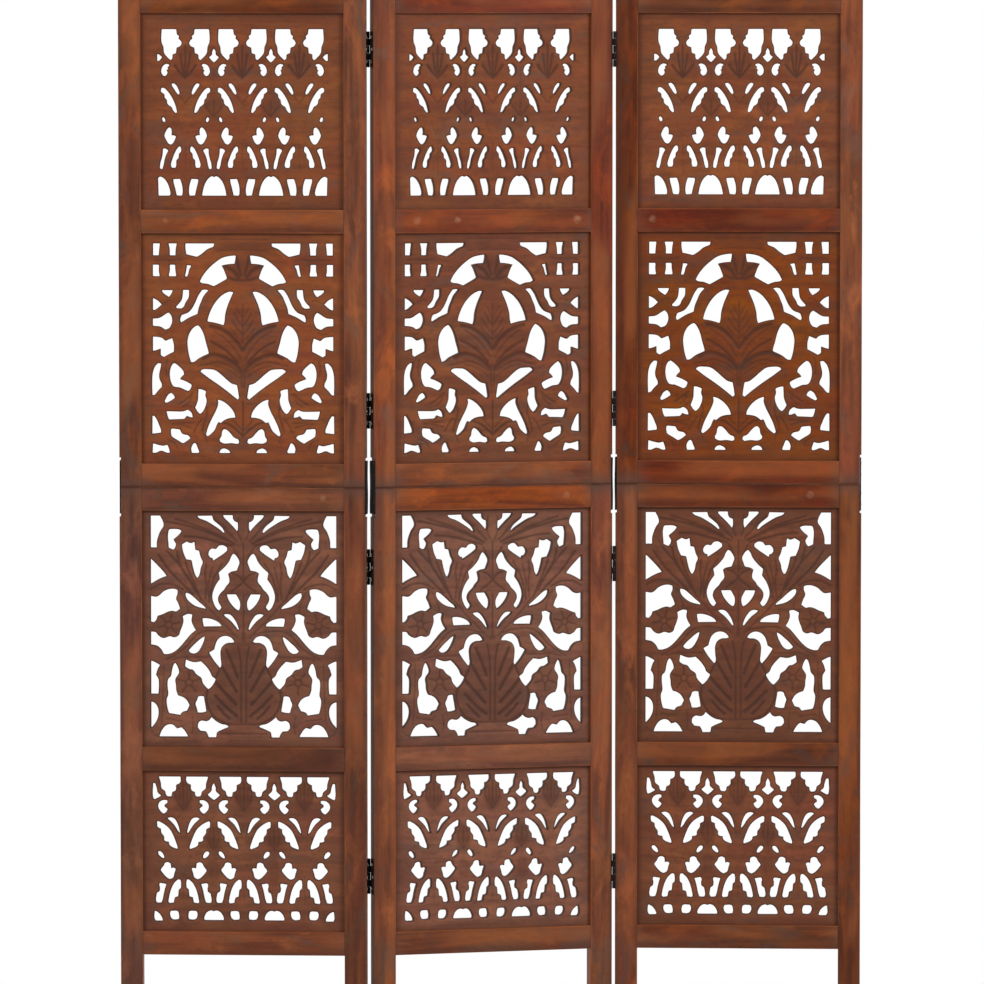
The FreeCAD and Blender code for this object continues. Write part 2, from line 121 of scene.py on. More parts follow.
# Outlines of the pierced holes, in millimetres: across from the middle line, up from the opening's foot
HOLES = {
    "bud": [
        [(134.1, 355.4), (145.5, 355.4), (145.5, 336.4), (136, 336.4), (135.2, 346)],
        [(106.9, 355.4), (120.5, 355.4), (118.5, 346), (118.5, 336.4), (109, 336.4), (108.5, 346)],
        [(46.1, 355.4), (93.1, 355.4), (93.1, 348), (91.5, 338), (74.5, 334), (66.5, 339), (57.5, 346.4),
         (47.5, 350.4)],
        [(135.5, 321), (145.9, 321), (145.9, 302.6), (134.5, 302.6), (135.9, 312)],
        [(109.5, 321), (118.5, 321), (118.5, 312), (120.5, 302.6), (107.5, 302.6), (109.1, 312)],
        [(83.1, 319.6), (90.5, 320.6), (91.9, 312), (93.9, 302.4), (90.5, 302), (88.5, 306), (86.5, 314)],
        [(11.5, 336), (18.5, 335.6), (33.5, 332), (45.5, 324), (55.5, 315), (64.5, 304), (69.9, 294),
         (67.5, 292), (57.5, 290.4), (47.5, 286.6), (37.5, 292), (25.5, 299), (27.5, 305), (31.5, 315),
         (34.5, 320), (25.5, 322), (13.5, 323), (12.1, 330)],
        [(15.5, 277), (21.5, 277.6), (33.5, 272), (43.5, 262), (50.5, 251), (55.5, 239), (57.9, 229.6),
         (45.5, 227.6), (31.5, 223.6), (29.9, 229), (28.5, 242), (24.5, 256), (19.5, 268)],
        [(72.5, 223.6), (79.5, 220), (86.5, 211), (90.1, 198), (89.5, 186), (87.5, 174), (84.5, 164),
         (80.5, 164), (70.5, 171), (55.5, 178), (55.9, 181), (59.5, 194), (63.5, 209), (68.5, 219)],
        [(55.9, 280), (61.5, 281), (66.5, 280), (72.5, 271), (76.5, 262), (81.5, 252), (88.5, 244),
         (99.5, 239.6), (101.9, 232), (100.5, 228), (95.5, 231), (87.5, 236), (73.5, 242), (71.5, 252),
         (67.5, 262), (63.5, 271)],
        [(87.1, 280.4), (97.1, 280.4), (97.5, 274), (99.5, 264), (108.5, 253), (107.5, 251), (99.5, 251),
         (95.5, 254), (93.5, 259), (90.5, 264), (87.9, 268)],
        [(113.5, 280), (131.5, 280), (130.5, 277), (119.9, 269), (115.9, 274)],
        [(145.9, 267.6), (145.9, 248), (142.5, 248.4), (131.5, 257), (137.5, 263)],
        [(120.5, 244), (125.5, 241), (135.5, 235), (146.1, 234), (146.1, 222.4), (133.5, 221),
         (126.5, 216.4), (119.5, 219), (115.5, 226), (114.5, 232), (116.5, 240)],
        [(114.5, 202.4), (125.5, 198), (131.5, 203), (146.1, 205), (146.1, 182), (141.5, 183), (133.5, 186),
         (133.5, 175), (128.5, 172), (123.5, 175), (111.9, 181), (111.9, 192)],
        [(132.5, 161.6), (137.5, 162), (142.5, 157), (146.5, 146), (147.5, 132), (147.1, 110.4),
         (143.5, 111), (138.5, 117), (131.5, 124), (131.9, 129), (135.1, 136), (135.9, 144), (133.5, 155)],
        [(110.5, 162.4), (114.5, 160), (118.5, 150), (118.5, 138), (115.5, 128), (112.5, 124.4),
         (103.5, 123), (95.5, 119.6), (89.5, 117), (85.9, 119.6), (82.9, 127), (86.5, 129.6), (95.5, 134),
         (102.5, 136.4), (99.5, 140.4), (95.5, 144), (96.5, 149), (103.5, 157)],
        [(69.5, 148.6), (66.5, 151.6), (55.5, 152.4), (45.5, 151), (35.5, 144), (25.5, 135), (17.5, 129),
         (9.9, 127), (8.5, 120), (6.5, 106), (9.5, 103.6), (23.5, 115), (39.5, 127), (55.5, 138)],
        [(59.9, 117), (66.5, 119.6), (72.5, 120.4), (72.9, 112), (73.5, 102), (77.9, 90), (73.5, 83),
         (69.9, 80), (65.5, 84), (60.5, 94), (59.1, 103), (61.1, 110)],
        [(116.5, 114), (121.5, 111), (127.5, 100.4), (125.5, 97.6), (119.5, 100.4), (110.5, 106),
         (112.5, 111)],
        [(81.5, 74.4), (83.5, 82), (89.5, 87), (95.5, 84.4), (109.5, 84), (124.5, 84.4), (122.5, 76),
         (120.5, 71), (95.5, 72), (91.5, 77), (86.5, 75)],
        [(143.9, 77), (147.2, 76.4), (147.5, 48), (133.5, 49.6), (132.9, 52), (136.5, 63), (140.5, 72)],
        [(41.5, 103.6), (40.5, 97), (43.5, 87), (50.5, 73), (56.5, 60), (60.5, 47), (58.5, 43.6), (53.5, 47),
         (46.5, 54), (42.5, 63), (40.5, 67), (36.5, 65.6), (29.5, 71), (21.5, 73.6), (12.5, 74.4),
         (14.5, 82), (22.5, 93), (33.5, 101)],
        [(31.5, 55.6), (34.1, 52), (35.5, 44), (38.5, 39), (37.5, 35), (31.5, 32.4), (19.5, 33), (9.5, 31.6),
         (6.5, 34), (7.5, 39), (14.5, 42), (21.5, 50), (27.5, 55)],
        [(20.9, 17), (22.5, 21), (30.5, 24.4), (36.5, 22), (38.9, 17)],
        [(78.5, 33.4), (81.5, 31), (84.5, 24), (83.5, 17), (72.5, 17), (71.1, 19), (74.5, 27), (76.5, 32)],
        [(102.5, 55), (116.5, 56.4), (117.5, 52), (116.5, 44), (112.5, 41), (105.5, 37), (98.5, 32.4),
         (93.5, 35), (85.5, 41), (88.5, 45), (98.5, 48)],
        [(122.5, 30), (129.5, 28.4), (136.5, 29.6), (146.5, 32.4), (147.1, 17), (142.5, 17), (133.5, 20.4),
         (123.5, 17), (119.1, 17), (119.5, 21)],
    ],
    "vase": [
        [(17, 376.4), (33.5, 376.4), (32, 373), (23, 364), (14.5, 355), (10.5, 350), (9, 354), (9, 364.5),
         (14.5, 367), (17, 372)],
        [(50.5, 375.5), (75, 375), (73, 372), (61, 367), (49, 360), (38, 352.5), (32, 347), (30.5, 349),
         (34.5, 356), (43.5, 364), (48.5, 368.5)],
        [(135, 375.2), (150.5, 375.2), (150.5, 323.5), (140.5, 323.5), (140.3, 334), (137.5, 344),
         (134.5, 351), (129.5, 359), (130.5, 366)],
        [(100.5, 351), (104, 353), (119.5, 353.5), (121.5, 351), (121.5, 323), (114, 319.8), (111, 323.5),
         (109.2, 329.5), (113.7, 337), (107, 342.5), (101.5, 348.5)],
        [(79.5, 333), (84.5, 330.8), (92, 333.2), (100.3, 328), (98, 316), (93.3, 304.5), (84.5, 303),
         (81.8, 290), (77.5, 277), (74.8, 274), (71.5, 280), (69, 292), (66, 300), (69.3, 308), (72, 318.5),
         (78, 320)],
        [(26.5, 324), (32.5, 327.4), (39.5, 326.6), (44, 321.3), (51.5, 322.3), (55.8, 318), (57.2, 312),
         (54, 307.5), (50.3, 306.8), (49.5, 302.5), (42, 307.5), (32.5, 314), (26.5, 319)],
        [(16.5, 314), (19.5, 310), (23.5, 301), (33, 289.5), (40.5, 283), (38.5, 272.5), (44.5, 264),
         (49, 254), (51, 244), (49, 234), (42.5, 223), (39.5, 221.8), (35.7, 227), (41, 237), (41, 244),
         (36.5, 251), (31.5, 256), (28.5, 261), (23, 268), (23.3, 275), (25, 281.5), (20.5, 284.5),
         (11, 286.5), (9, 292), (6.5, 300.5), (9.5, 307.5), (13.5, 312.5)],
        [(12, 248), (27.5, 247.8), (25.5, 241), (21, 233), (12, 223.5), (8, 221.5), (6, 226), (5.8, 236),
         (8.6, 242)],
        [(32.5, 214.8), (27, 216), (21, 214.6), (15, 208), (10.5, 200), (7.5, 191), (9, 189.7), (14.5, 197),
         (22, 205.5), (30, 211.8)],
        [(66.5, 209), (66.8, 206.5), (65, 195.5), (35.5, 196), (37, 199), (42, 203.5), (52, 207.8),
         (60, 209.2)],
        [(93.5, 250.3), (94.4, 247), (92.5, 241), (87.5, 235), (78, 228.5), (61, 224), (62.5, 227),
         (70.5, 234), (79.5, 242.3), (88, 248.8)],
        [(107, 255), (112.5, 256.6), (121, 256), (130, 252), (137, 245.5), (141, 243.7), (150.5, 245),
         (150.5, 203), (146, 202), (141.5, 207), (140, 212.5), (131.5, 215.3), (125, 218.5), (117, 220.7),
         (110, 219.4), (103, 224.5), (106, 233.5), (109.5, 241.5), (107.3, 248)],
        [(83, 215), (90, 216), (99, 212), (98, 203.5), (99.5, 197), (103, 188), (105.5, 181), (112, 177.8),
         (119.5, 179.5), (130, 176.5), (138.5, 181), (142.5, 186), (150.5, 187), (150.5, 166), (141, 164),
         (134, 158), (130, 150.5), (124, 150.3), (113.5, 154), (104, 162), (94.5, 173), (85, 184),
         (77.5, 190), (82, 197.5), (84.5, 206)],
        [(15, 170.5), (17.5, 175), (22.5, 179), (29.5, 180.5), (37, 178.5), (43.5, 172), (46.5, 164),
         (48, 158), (56.5, 153), (51.5, 144.5), (45.5, 136), (39, 128.5), (36.8, 131), (37.2, 144),
         (37.5, 156), (34, 164.3), (26, 169), (19, 169.3)],
        [(63, 179.5), (67, 177.5), (76, 170), (84.5, 162), (89.5, 156), (87, 153), (80.5, 151.5),
         (74.5, 154.5), (69, 162.5), (64.7, 172)],
        [(69, 139), (81, 137.6), (94, 142), (95.5, 130.5), (89, 126.3), (83, 125), (77, 117.5), (69, 111.5),
         (67, 104), (62, 97.5), (58, 93.5), (53.5, 97), (47, 106.5), (45.5, 110.5), (51.5, 115), (54.5, 122),
         (61, 131)],
        [(111, 136.5), (113.5, 134), (116.5, 125), (119, 113.5), (123, 109.5), (124, 98), (123, 84),
         (125.5, 77), (124.5, 64), (122, 54.5), (103.5, 51.5), (100.5, 56), (92.5, 58.5), (88, 68),
         (93, 76.5), (99, 81), (106.5, 83.5), (109.5, 92), (110, 100), (111, 110), (106, 118.5),
         (105, 120.5), (108, 132)],
        [(150.5, 140), (145, 138), (136, 133), (139.5, 127), (142.5, 117), (138.5, 110.5), (137.8, 104),
         (138.5, 86), (150.5, 86)],
        [(150.5, 73.5), (146, 72), (141, 67), (138.5, 59), (139.5, 48), (144, 38.5), (150.5, 31)],
        [(64.5, 82), (69, 82.8), (74.5, 81.5), (76, 76), (78.7, 70), (76.5, 62), (75, 55.5), (67, 55.8),
         (60.8, 57.5), (62.5, 69), (64, 77)],
        [(52.5, 48.5), (55.5, 44), (60.5, 41.8), (69, 42.6), (74, 38.5), (75, 31), (71, 26), (62, 25),
         (59, 20), (57.5, 15.5), (45, 15.5), (43.8, 24), (35.5, 28), (24.5, 32.5), (26.5, 35), (36, 37.3),
         (44, 41.5)],
        [(90, 16.5), (96, 26.5), (101, 31.7), (108.5, 29.7), (115, 35.8), (120.5, 36.5), (127, 34),
         (133, 27), (137.5, 16.5)],
        [(150.5, 306), (141, 296.5), (129, 283.5), (124.5, 277.5), (132, 275), (142, 270), (150.5, 264.8)],
    ],
}
# Rows of trees: half a tree's width, the holes of half a tree, the halves of the holes that two trees share,
# and those holes' form at the board's edge.
TREES = {
    "tall_trees": (46.0, [
        [(14.6, 290.4), (38.6, 290.4), (39, 270), (36, 262), (34.6, 252), (27, 243), (24, 240.5), (21, 243),
         (20.6, 250), (15, 252), (14, 261), (8, 263.5), (5.6, 268), (7.4, 272), (10.8, 275), (10.2, 279.5),
         (13.6, 282)],
        [(26.2, 233.5), (31, 234.5), (36, 232), (39.2, 226), (39.2, 220), (36, 215.5), (33, 215),
         (29.6, 218), (28.8, 222), (30.6, 224), (28, 226.5), (28.8, 229.5), (26, 231.5)],
        [(22.6, 202.5), (18.6, 203.5), (14.6, 200), (10.8, 192.5), (9.2, 187), (11.6, 185), (14.6, 188),
         (18.8, 194.5), (22.2, 199.5)],
        [(36.6, 196.5), (39.8, 195.2), (40.2, 190), (37.6, 188), (34.8, 186), (33.8, 180), (30.8, 177),
         (29.8, 171), (26.6, 167.5), (23.6, 166), (20.6, 160), (16.6, 155.5), (13.6, 156.5), (14.6, 162),
         (17.6, 172), (22.6, 182), (28.6, 190.5), (33, 194.8)],
        [(35.6, 149), (38, 148), (37.8, 144), (35.2, 140.6), (32.6, 141.8), (33, 146)],
        [(23.6, 131.5), (27.2, 132.5), (30.6, 129), (33.6, 123), (34.6, 119), (31.6, 112), (27.6, 106),
         (23.6, 104.8), (20.6, 107), (17.6, 112), (15.4, 118), (18.6, 119.5), (22.6, 119.8), (22.4, 128)],
        [(7.6, 101), (10.6, 102), (13.6, 99), (17.6, 92), (21.6, 82), (24.2, 71), (22.6, 67.5), (16.6, 67.5),
         (15.2, 71), (14.6, 80), (11.6, 83), (10.6, 90), (7.2, 94)],
        [(28.6, 96), (33.6, 98.5), (37.2, 97.8), (37.6, 90), (39.2, 82), (41.2, 76), (42.2, 67),
         (40.6, 65.5), (37.6, 65.5), (35.6, 72), (33.6, 82), (30.6, 90), (28, 94.5)],
        [(9, 49.5), (20.5, 49), (20, 44), (17.4, 34), (15, 23), (6, 22.5), (5, 27), (5.5, 38), (8, 47)],
    ], [
        [(46, 259.5), (43.2, 255), (42.6, 249.5), (38, 245.5), (41.8, 240.5), (46, 236.8)],
        [(46, 52.5), (43, 54), (40, 53), (35, 48.5), (31, 42), (28, 33), (26, 22.6), (46, 22.6)],
    ], [
        [(46, 250.5), (42, 249.5), (37.5, 245.2), (42, 239.8), (46, 239.5)],
        [(45.1, 51), (41.7, 53.4), (36.7, 51.6), (30.7, 45), (26.7, 36), (24.7, 25), (25.7, 22.6),
         (44.3, 22.6)],
    ]),
    "low_trees": (49.25, [
        [(4.9, 251), (40, 251), (38.5, 247), (36.5, 240), (35.5, 232), (29.5, 227), (28.5, 222),
         (26.5, 219.4), (21, 219), (19.5, 221), (19, 226.4), (14.5, 228), (12.5, 231), (12.5, 238),
         (6.5, 241), (4.9, 244)],
        [(26.5, 212.4), (31.5, 212.8), (36.5, 211), (40.5, 206), (40.5, 200), (36.5, 194), (33, 191),
         (29.5, 193), (26, 198.5), (28.5, 200.5), (31.5, 203), (30.5, 206.5), (26.5, 208.5)],
        [(26, 183), (21.5, 184.5), (15.5, 183), (10.5, 176), (7.5, 167), (5.9, 159), (8.5, 162), (15.5, 173),
         (21.5, 179)],
        [(41.5, 178.5), (43, 177), (42.5, 169), (36.5, 166), (36, 159.5), (31.5, 153), (31.5, 147.5),
         (29.5, 146), (23.5, 145), (23, 140), (19.5, 137), (10.5, 133.5), (10, 135), (12.5, 144),
         (15.5, 152), (21.5, 164), (29.5, 172), (36.5, 176.3)],
        [(38.5, 129.4), (41.5, 128.4), (40.5, 124), (36.5, 120), (33, 118), (31.5, 120), (33.5, 125),
         (36.5, 128.5)],
        [(21.5, 110), (26.5, 111.5), (30.5, 110), (32.5, 105), (36.5, 100), (37.1, 98), (32.5, 92),
         (26.5, 86), (22.5, 84.2), (17.5, 87), (15.5, 94), (13.1, 101), (15.5, 102.4), (20.5, 101.6)],
        [(5.5, 83), (8.5, 83.6), (14.5, 78), (19.5, 69), (22.9, 58), (24.9, 47), (23.5, 45), (16.5, 46),
         (15.5, 52), (14.5, 55), (9.5, 56), (8.9, 62), (8.5, 67), (4.9, 70), (4.5, 78)],
        [(28.5, 76), (38.5, 77.6), (39.5, 74), (38.5, 70), (38.9, 64), (43.5, 61), (44.9, 48), (43.5, 45.6),
         (36.5, 46), (34.5, 52), (32.5, 62), (30.5, 70)],
        [(10.5, 32), (20.5, 32), (22, 29), (20.5, 21), (17.5, 18.6), (8.5, 19), (7.7, 24), (9, 31)],
    ], [
        [(49.25, 240.5), (46.5, 234), (46, 228), (39.5, 221.8), (44, 217.5), (49.25, 213.6)],
        [(49.25, 31.8), (46, 33), (41, 32), (36, 27), (33.5, 19), (34, 17.8), (49.25, 17.8)],
    ], [
        [(49, 240.5), (46, 240), (43.5, 232), (42, 225), (36.5, 220.5), (42, 217), (48, 214.2), (49, 216)],
        [(47, 32), (44, 31), (39, 27), (35, 20), (34.4, 16.4), (46, 16.4), (47.6, 20)],
    ]),
}

# Carved lines: (half width, depth, points), in millimetres, in the same places as the holes.
LINES = {
    "bud": [
        (2, 0.9, [(0, 258), (0, 226), (0, 192)]),
        (2.2, 0.8, [(1.5, 236), (6, 244), (10, 252)]),
        (2.4, 0.9, [(1.5, 223), (8, 232), (14, 243)]),
        (2.4, 0.9, [(1.5, 210), (10, 219), (17, 231)]),
        (2.4, 0.9, [(1.5, 198), (11, 207), (19, 218)]),
        (4.2, 1.7, [(0.5, 184), (10, 197), (22, 209), (37, 218), (52, 222)]),
        (3, 0.8, [(4, 170), (14, 186), (29, 202), (46, 214)]),
        (3.2, 1.3, [(8, 162), (22, 178), (38, 190), (52, 197)]),
        (2.6, 0.6, [(24, 166), (38, 176), (50, 182)]),
        (4.4, 1.8, [(3, 150), (14, 162), (31, 172), (50, 176), (64, 170)]),
        (3.2, 0.9, [(7, 148), (23, 159), (42, 164), (60, 160), (72, 158)]),
        (2.8, 0.7, [(6, 138), (18, 148), (32, 155), (46, 158)]),
        (2.4, 1, [(2, 122), (2.5, 140), (1.5, 158)]),
        (5, 1.5, [(7, 300), (14, 310), (28, 318)]),
        (4, 1.3, [(3, 304), (7, 318), (10, 333)]),
        (3.6, 1.2, [(1, 296), (12, 297), (24, 301)]),
        (2.4, 1.1, [(0, 100), (0, 72), (0, 42)]),
        (3, 1.3, [(0, 44), (10, 54), (24, 64), (32, 66)]),
        (2.4, 1, [(1, 54), (10, 63), (16, 70)]),
        (2.6, 1.1, [(66, 52), (62, 68), (58, 82), (60, 92)]),
        (2.4, 1, [(80, 50), (74, 62), (66, 72)]),
        (2.4, 1, [(84, 58), (98, 62), (114, 64)]),
        (2.2, 0.9, [(80, 66), (96, 66), (106, 67)]),
        (2.6, 1.1, [(82, 112), (94, 102), (104, 96)]),
        (2.2, 0.9, [(84, 106), (88, 98), (96, 92)]),
        (2.4, 0.9, [(58, 34), (62, 44), (66, 50)]),
        (2.4, 0.9, [(106, 24), (112, 34), (122, 38)]),
        (2.4, 0.9, [(122, 212), (128, 208), (138, 210)]),
        (2.4, 0.9, [(123, 140), (125, 154), (122, 168)]),
        (2.2, 0.9, [(126, 260), (118, 264), (112, 262)]),
        (2.4, 0.9, [(98, 330), (112, 328), (128, 329), (142, 328)]),
        (2.4, 0.8, [(0, 345), (20, 345), (40, 343)]),
        (2, 0.7, [(0, 362), (20, 362), (40, 362)]),
    ],
    "vase": [
        (2.4, 1.2, [(4.2, 40), (4.2, 100), (5, 140), (9, 164)]),
        (3.4, 1.6, [(10, 113), (18, 134), (28, 158)]),
        (3.6, 1.7, [(12, 90), (23, 109), (35, 130)]),
        (3.8, 1.8, [(13, 69), (29, 86), (47, 107)]),
        (3.6, 1.8, [(11, 50), (28, 64), (46, 83)]),
        (3, 1.6, [(23, 46), (32, 54), (42, 66)]),
        (2.6, 1.5, [(38, 127), (46, 111), (57, 96), (60.5, 80), (57, 63), (46, 47.5), (30, 38.5)]),
        (2.4, 1.1, [(0, 37), (16, 37), (28, 38)]),
        (2.4, 1.1, [(0, 22), (20, 22), (38, 22)]),
        (2.4, 1, [(2, 172), (0, 200), (0, 222)]),
        (2.4, 1, [(0, 224), (0, 246)]),
        (2.6, 1.2, [(0, 268), (8, 278), (18, 282)]),
        (2.6, 1.2, [(0, 268), (9, 260), (20, 252)]),
        (2.2, 1, [(0, 268), (0, 286), (0, 330)]),
        (3, 1.3, [(14, 330), (36, 340), (66, 352), (104, 362), (126, 366)]),
        (3, 1.3, [(18, 327), (42, 333), (70, 340), (96, 342)]),
        (2.8, 1.2, [(24, 336), (52, 350), (84, 362), (110, 370)]),
        (2.6, 1.1, [(10, 334), (22, 346), (30, 356), (46, 370)]),
        (2.4, 1, [(4, 336), (8, 346), (8, 372)]),
        (2.6, 1.1, [(6, 300), (10, 312), (16, 322)]),
        (3, 1.3, [(68, 238), (76, 254), (90, 276), (106, 298), (124, 318)]),
        (3, 1.3, [(76, 250), (86, 268), (98, 286), (106, 306), (108, 318)]),
        (3, 1.3, [(82, 248), (100, 266), (118, 284), (138, 312)]),
        (2.8, 1.2, [(72, 246), (78, 262), (88, 284), (94, 300)]),
        (2.6, 1.1, [(62, 240), (60, 262), (62, 282), (60, 298)]),
        (2.6, 1.1, [(56, 236), (52, 258), (46, 278), (34, 298)]),
        (2.4, 1, [(56, 240), (56, 268), (50, 292)]),
        (2.6, 1.1, [(98, 256), (116, 264), (134, 264), (150, 256)]),
        (2.4, 1, [(10, 178), (28, 196), (48, 216), (66, 238)]),
        (2.4, 1, [(14, 182), (40, 188), (70, 186), (96, 160), (124, 142)]),
        (2.4, 0.9, [(52, 158), (58, 146), (70, 146), (96, 146), (116, 142)]),
        (2.2, 0.9, [(96, 196), (90, 222), (98, 244), (102, 252)]),
        (2.2, 0.9, [(130, 134), (130, 110), (131, 84), (132, 60), (134, 36)]),
        (2.2, 0.9, [(56, 88), (62, 88)]),
        (2.2, 0.9, [(84, 50), (82, 34), (84, 22)]),
        (2.2, 0.9, [(100, 42), (112, 44), (126, 46)]),
        (2.2, 0.8, [(128, 12), (146, 20), (150, 26)]),
    ],
}
# Carved lines about each trunk, and about each gap between two trees
TREE_LINES = {
    "tall_trees": [
        (3, 1.4, [(0, 212), (8, 220), (17, 232)]),
        (2.6, 1.2, [(0, 212), (0, 264)]),
        (2.8, 0.8, [(1, 172), (5, 178), (9, 183)]),
        (2.8, 1.3, [(1, 214), (5, 230), (8, 250)]),
        (2.4, 0.5, [(0, 60), (0, 108)]),
        (2.4, 0.4, [(2, 120), (8, 132), (12, 146)]),
    ],
    "low_trees": [
        (3.6, 0.8, [(0, 196), (8, 208), (13, 222), (8, 234)]),
        (3.2, 0.8, [(0, 198), (0, 242)]),
        (3, 0.7, [(2, 200), (6, 214), (6, 232)]),
        (2.6, 0.6, [(2, 150), (5, 160)]),
        (2.4, 0.5, [(0, 44), (0, 90)]),
        (2.4, 0.45, [(2, 104), (8, 112), (13, 122)]),
    ],
}
BETWEEN_LINES = {
    "tall_trees": [
        (3, 0.9, [(0, 150), (7, 158), (14, 167)]),
        (2.6, 0.8, [(0, 150), (0, 176)]),
        (2.4, 0.5, [(0, 196), (0, 226)]),
    ],
    "low_trees": [
        (3, 0.7, [(0, 132), (6, 142), (9, 154), (5, 166)]),
        (2.8, 0.7, [(0, 132), (0, 168)]),
        (2.4, 0.45, [(3, 84), (6, 98), (5, 112)]),
        (2.4, 0.45, [(0, 186), (0, 206)]),
    ],
}
# Carved flowers: (across, up, radius, petals)
FLOWERS = {"vase": [(121.5, 198, 21, 6), (88.5, 104.5, 21, 5)]}
# Places where the stain lies darker over the carving: (across, up, half width, half height, share)
STAIN_SHARES = {
    "vase": [(0, 84, 66, 56, 1), (0, 130, 40, 52, 0.8), (0, 268, 24, 22, 0.5), (122, 198, 22, 22, 0.45),
        (88, 104, 22, 22, 0.45)],
    "bud": [(0, 314, 34, 26, 0.9), (0, 190, 68, 62, 0.5), (118, 329, 34, 12, 0.8), (20, 352, 40, 9, 0.7)],
    "tall_trees": [(46, 170, 18, 28, 0.9), (0, 238, 19, 30, 0.6), (92, 238, 19, 30, 0.6),
        (46, 208, 12, 18, 0.3)],
    "low_trees": [(49, 150, 14, 30, 0.95), (0, 220, 17, 30, 0.9), (98, 220, 17, 30, 0.9),
        (49, 96, 11, 24, 0.6)],
}
# Members that took the stain otherwise than the rest: (richer in colour, lighter)
MEMBERS = {
    "left": {"bud": (0, 0.4), "lower_head_rail": (0, -0.45), "lower_left_stile": (-0.3, -0.45),
        "lower_middle_rail": (0, -1.2), "lower_right_stile": (0, -0.45), "upper_head_rail": (0.3, -0.75),
        "upper_left_stile": (0, -0.45), "upper_right_stile": (-0.3, 0), "vase": (-0.3, 0)},
    "centre": {"low_trees": (-0.3, 0.4), "lower_foot_rail": (0, -0.45), "lower_head_rail": (0.7, 0.4),
        "lower_middle_rail": (-0.3, 0), "upper_head_rail": (0.7, -0.45), "upper_left_stile": (0, 0.4),
        "upper_middle_rail": (0.7, -0.45), "upper_right_stile": (0.7, -0.45), "vase": (-0.3, 0)},
    "right": {"bud": (0.3, 0), "lower_foot_rail": (0, -0.45), "lower_head_rail": (0.7, -0.75),
        "lower_middle_rail": (0, -0.75), "lower_right_stile": (0, -0.45), "upper_foot_rail": (0.7, -0.45),
        "upper_head_rail": (0, -0.75), "upper_left_stile": (0.3, -0.75), "upper_middle_rail": (0.7, -0.45),
        "upper_right_stile": (-0.3, 0.4), "vase": (0, -0.45)},
}
# Pale spots on the rails: (leaf, half, rail, across the leaf, radius, share)
SPOTS = [("centre", "upper", 1, 140, 6.5, 1), ("centre", "upper", 1, 72, 8, 0.6),
         ("centre", "upper", 1, 340, 8.5, 0.9), ("right", "upper", 1, 60, 7.5, 0.7),
         ("right", "lower", 2, 317, 7.5, 0.7), ("centre", "lower", 2, 322, 7, 0.7),
         ("left", "upper", 1, 76, 5.5, 0.7), ("left", "lower", 2, 330, 6.5, 0.5)]


def mirrored(table):
    """Every outline and its mirror image about the line of symmetry."""
    return [np.array(points, float) * [side, 1] for points in table for side in (1, -1)]


def joined(points):
    """A half outline completed by its mirror image about its first and last points' line."""
    half = np.array(points, float)
    line = half[0, 0]
    other = half[::-1] * [-1, 1] + [2 * line, 0]
    return np.vstack([half, other[np.abs(other[:, 0] - line) > 1e-6]])


def holes_of(design):
    """All outlines of one design, each as an array of points. In a row of three trees each half is mirrored
    at its trunk, and the shared holes are joined between two trees."""
    if design in HOLES:
        return mirrored(HOLES[design])
    half, tree, between, edge = TREES[design]
    holes = [points + [trunk, 0] for trunk in (-2 * half, 0, 2 * half) for points in mirrored(tree)]
    for whole in map(joined, between):
        holes += [whole - [2 * half, 0], whole]
    return holes + mirrored([np.array(points) + [2 * half, 0] for points in edge])


def circle(turn):
    """Unit vectors at the given turns: the cosine across and the sine up."""
    return np.stack([np.cos(turn), np.sin(turn)], -1)


def both_sides(lines, middles=(0,)):
    """Carved lines and their mirror images about each middle. A line on the middle itself stays single."""
    return [(width, depth, np.array(points, float) * [side, 1] + [middle, 0])
            for width, depth, points in lines
            for side in ((1, -1) if max(abs(across) for across, _ in points) > 1e-6 else (1,))
            for middle in middles]


def lines_of(design):
    """All carved lines of one design. A flower is a ring and a line for each petal, all about its middle."""
    if design in TREES:
        half = TREES[design][0]
        return (both_sides(TREE_LINES[design], (-2 * half, 0, 2 * half))
                + both_sides(BETWEEN_LINES[design], (-half, half)))
    lines = both_sides(LINES[design])
    for across, up, radius, petals in FLOWERS.get(design, ()):
        for side in (1, -1):
            middle = np.array([side * across, up])
            lines.append((*RING_LINE, middle + RING_RADIUS * circle(np.linspace(0, 2 * math.pi, 13))))
            for turn in 2 * math.pi * (np.arange(petals) + 0.5) / petals + 0.3 * side:
                petal = np.outer([PETAL_START, 0.55 * radius, 0.9 * radius], circle(turn))
                lines.append((*PETAL_LINE, middle + petal))
    return lines


def unit(vectors):
    """Vectors drawn to the length of one."""
    return vectors / np.maximum(np.linalg.norm(vectors, axis=1, keepdims=True), 1e-9)


def grown(line, by):
    """A closed line moved outwards by a distance, along the normal of the chord between its neighbours."""
    after = np.roll(line, -1, 0)
    normal = unit((after - np.roll(line, 1, 0))[:, ::-1] * [1, -1])
    turning = np.sign((line[:, 0] * after[:, 1] - line[:, 1] * after[:, 0]).sum())
    return line + turning * by * normal


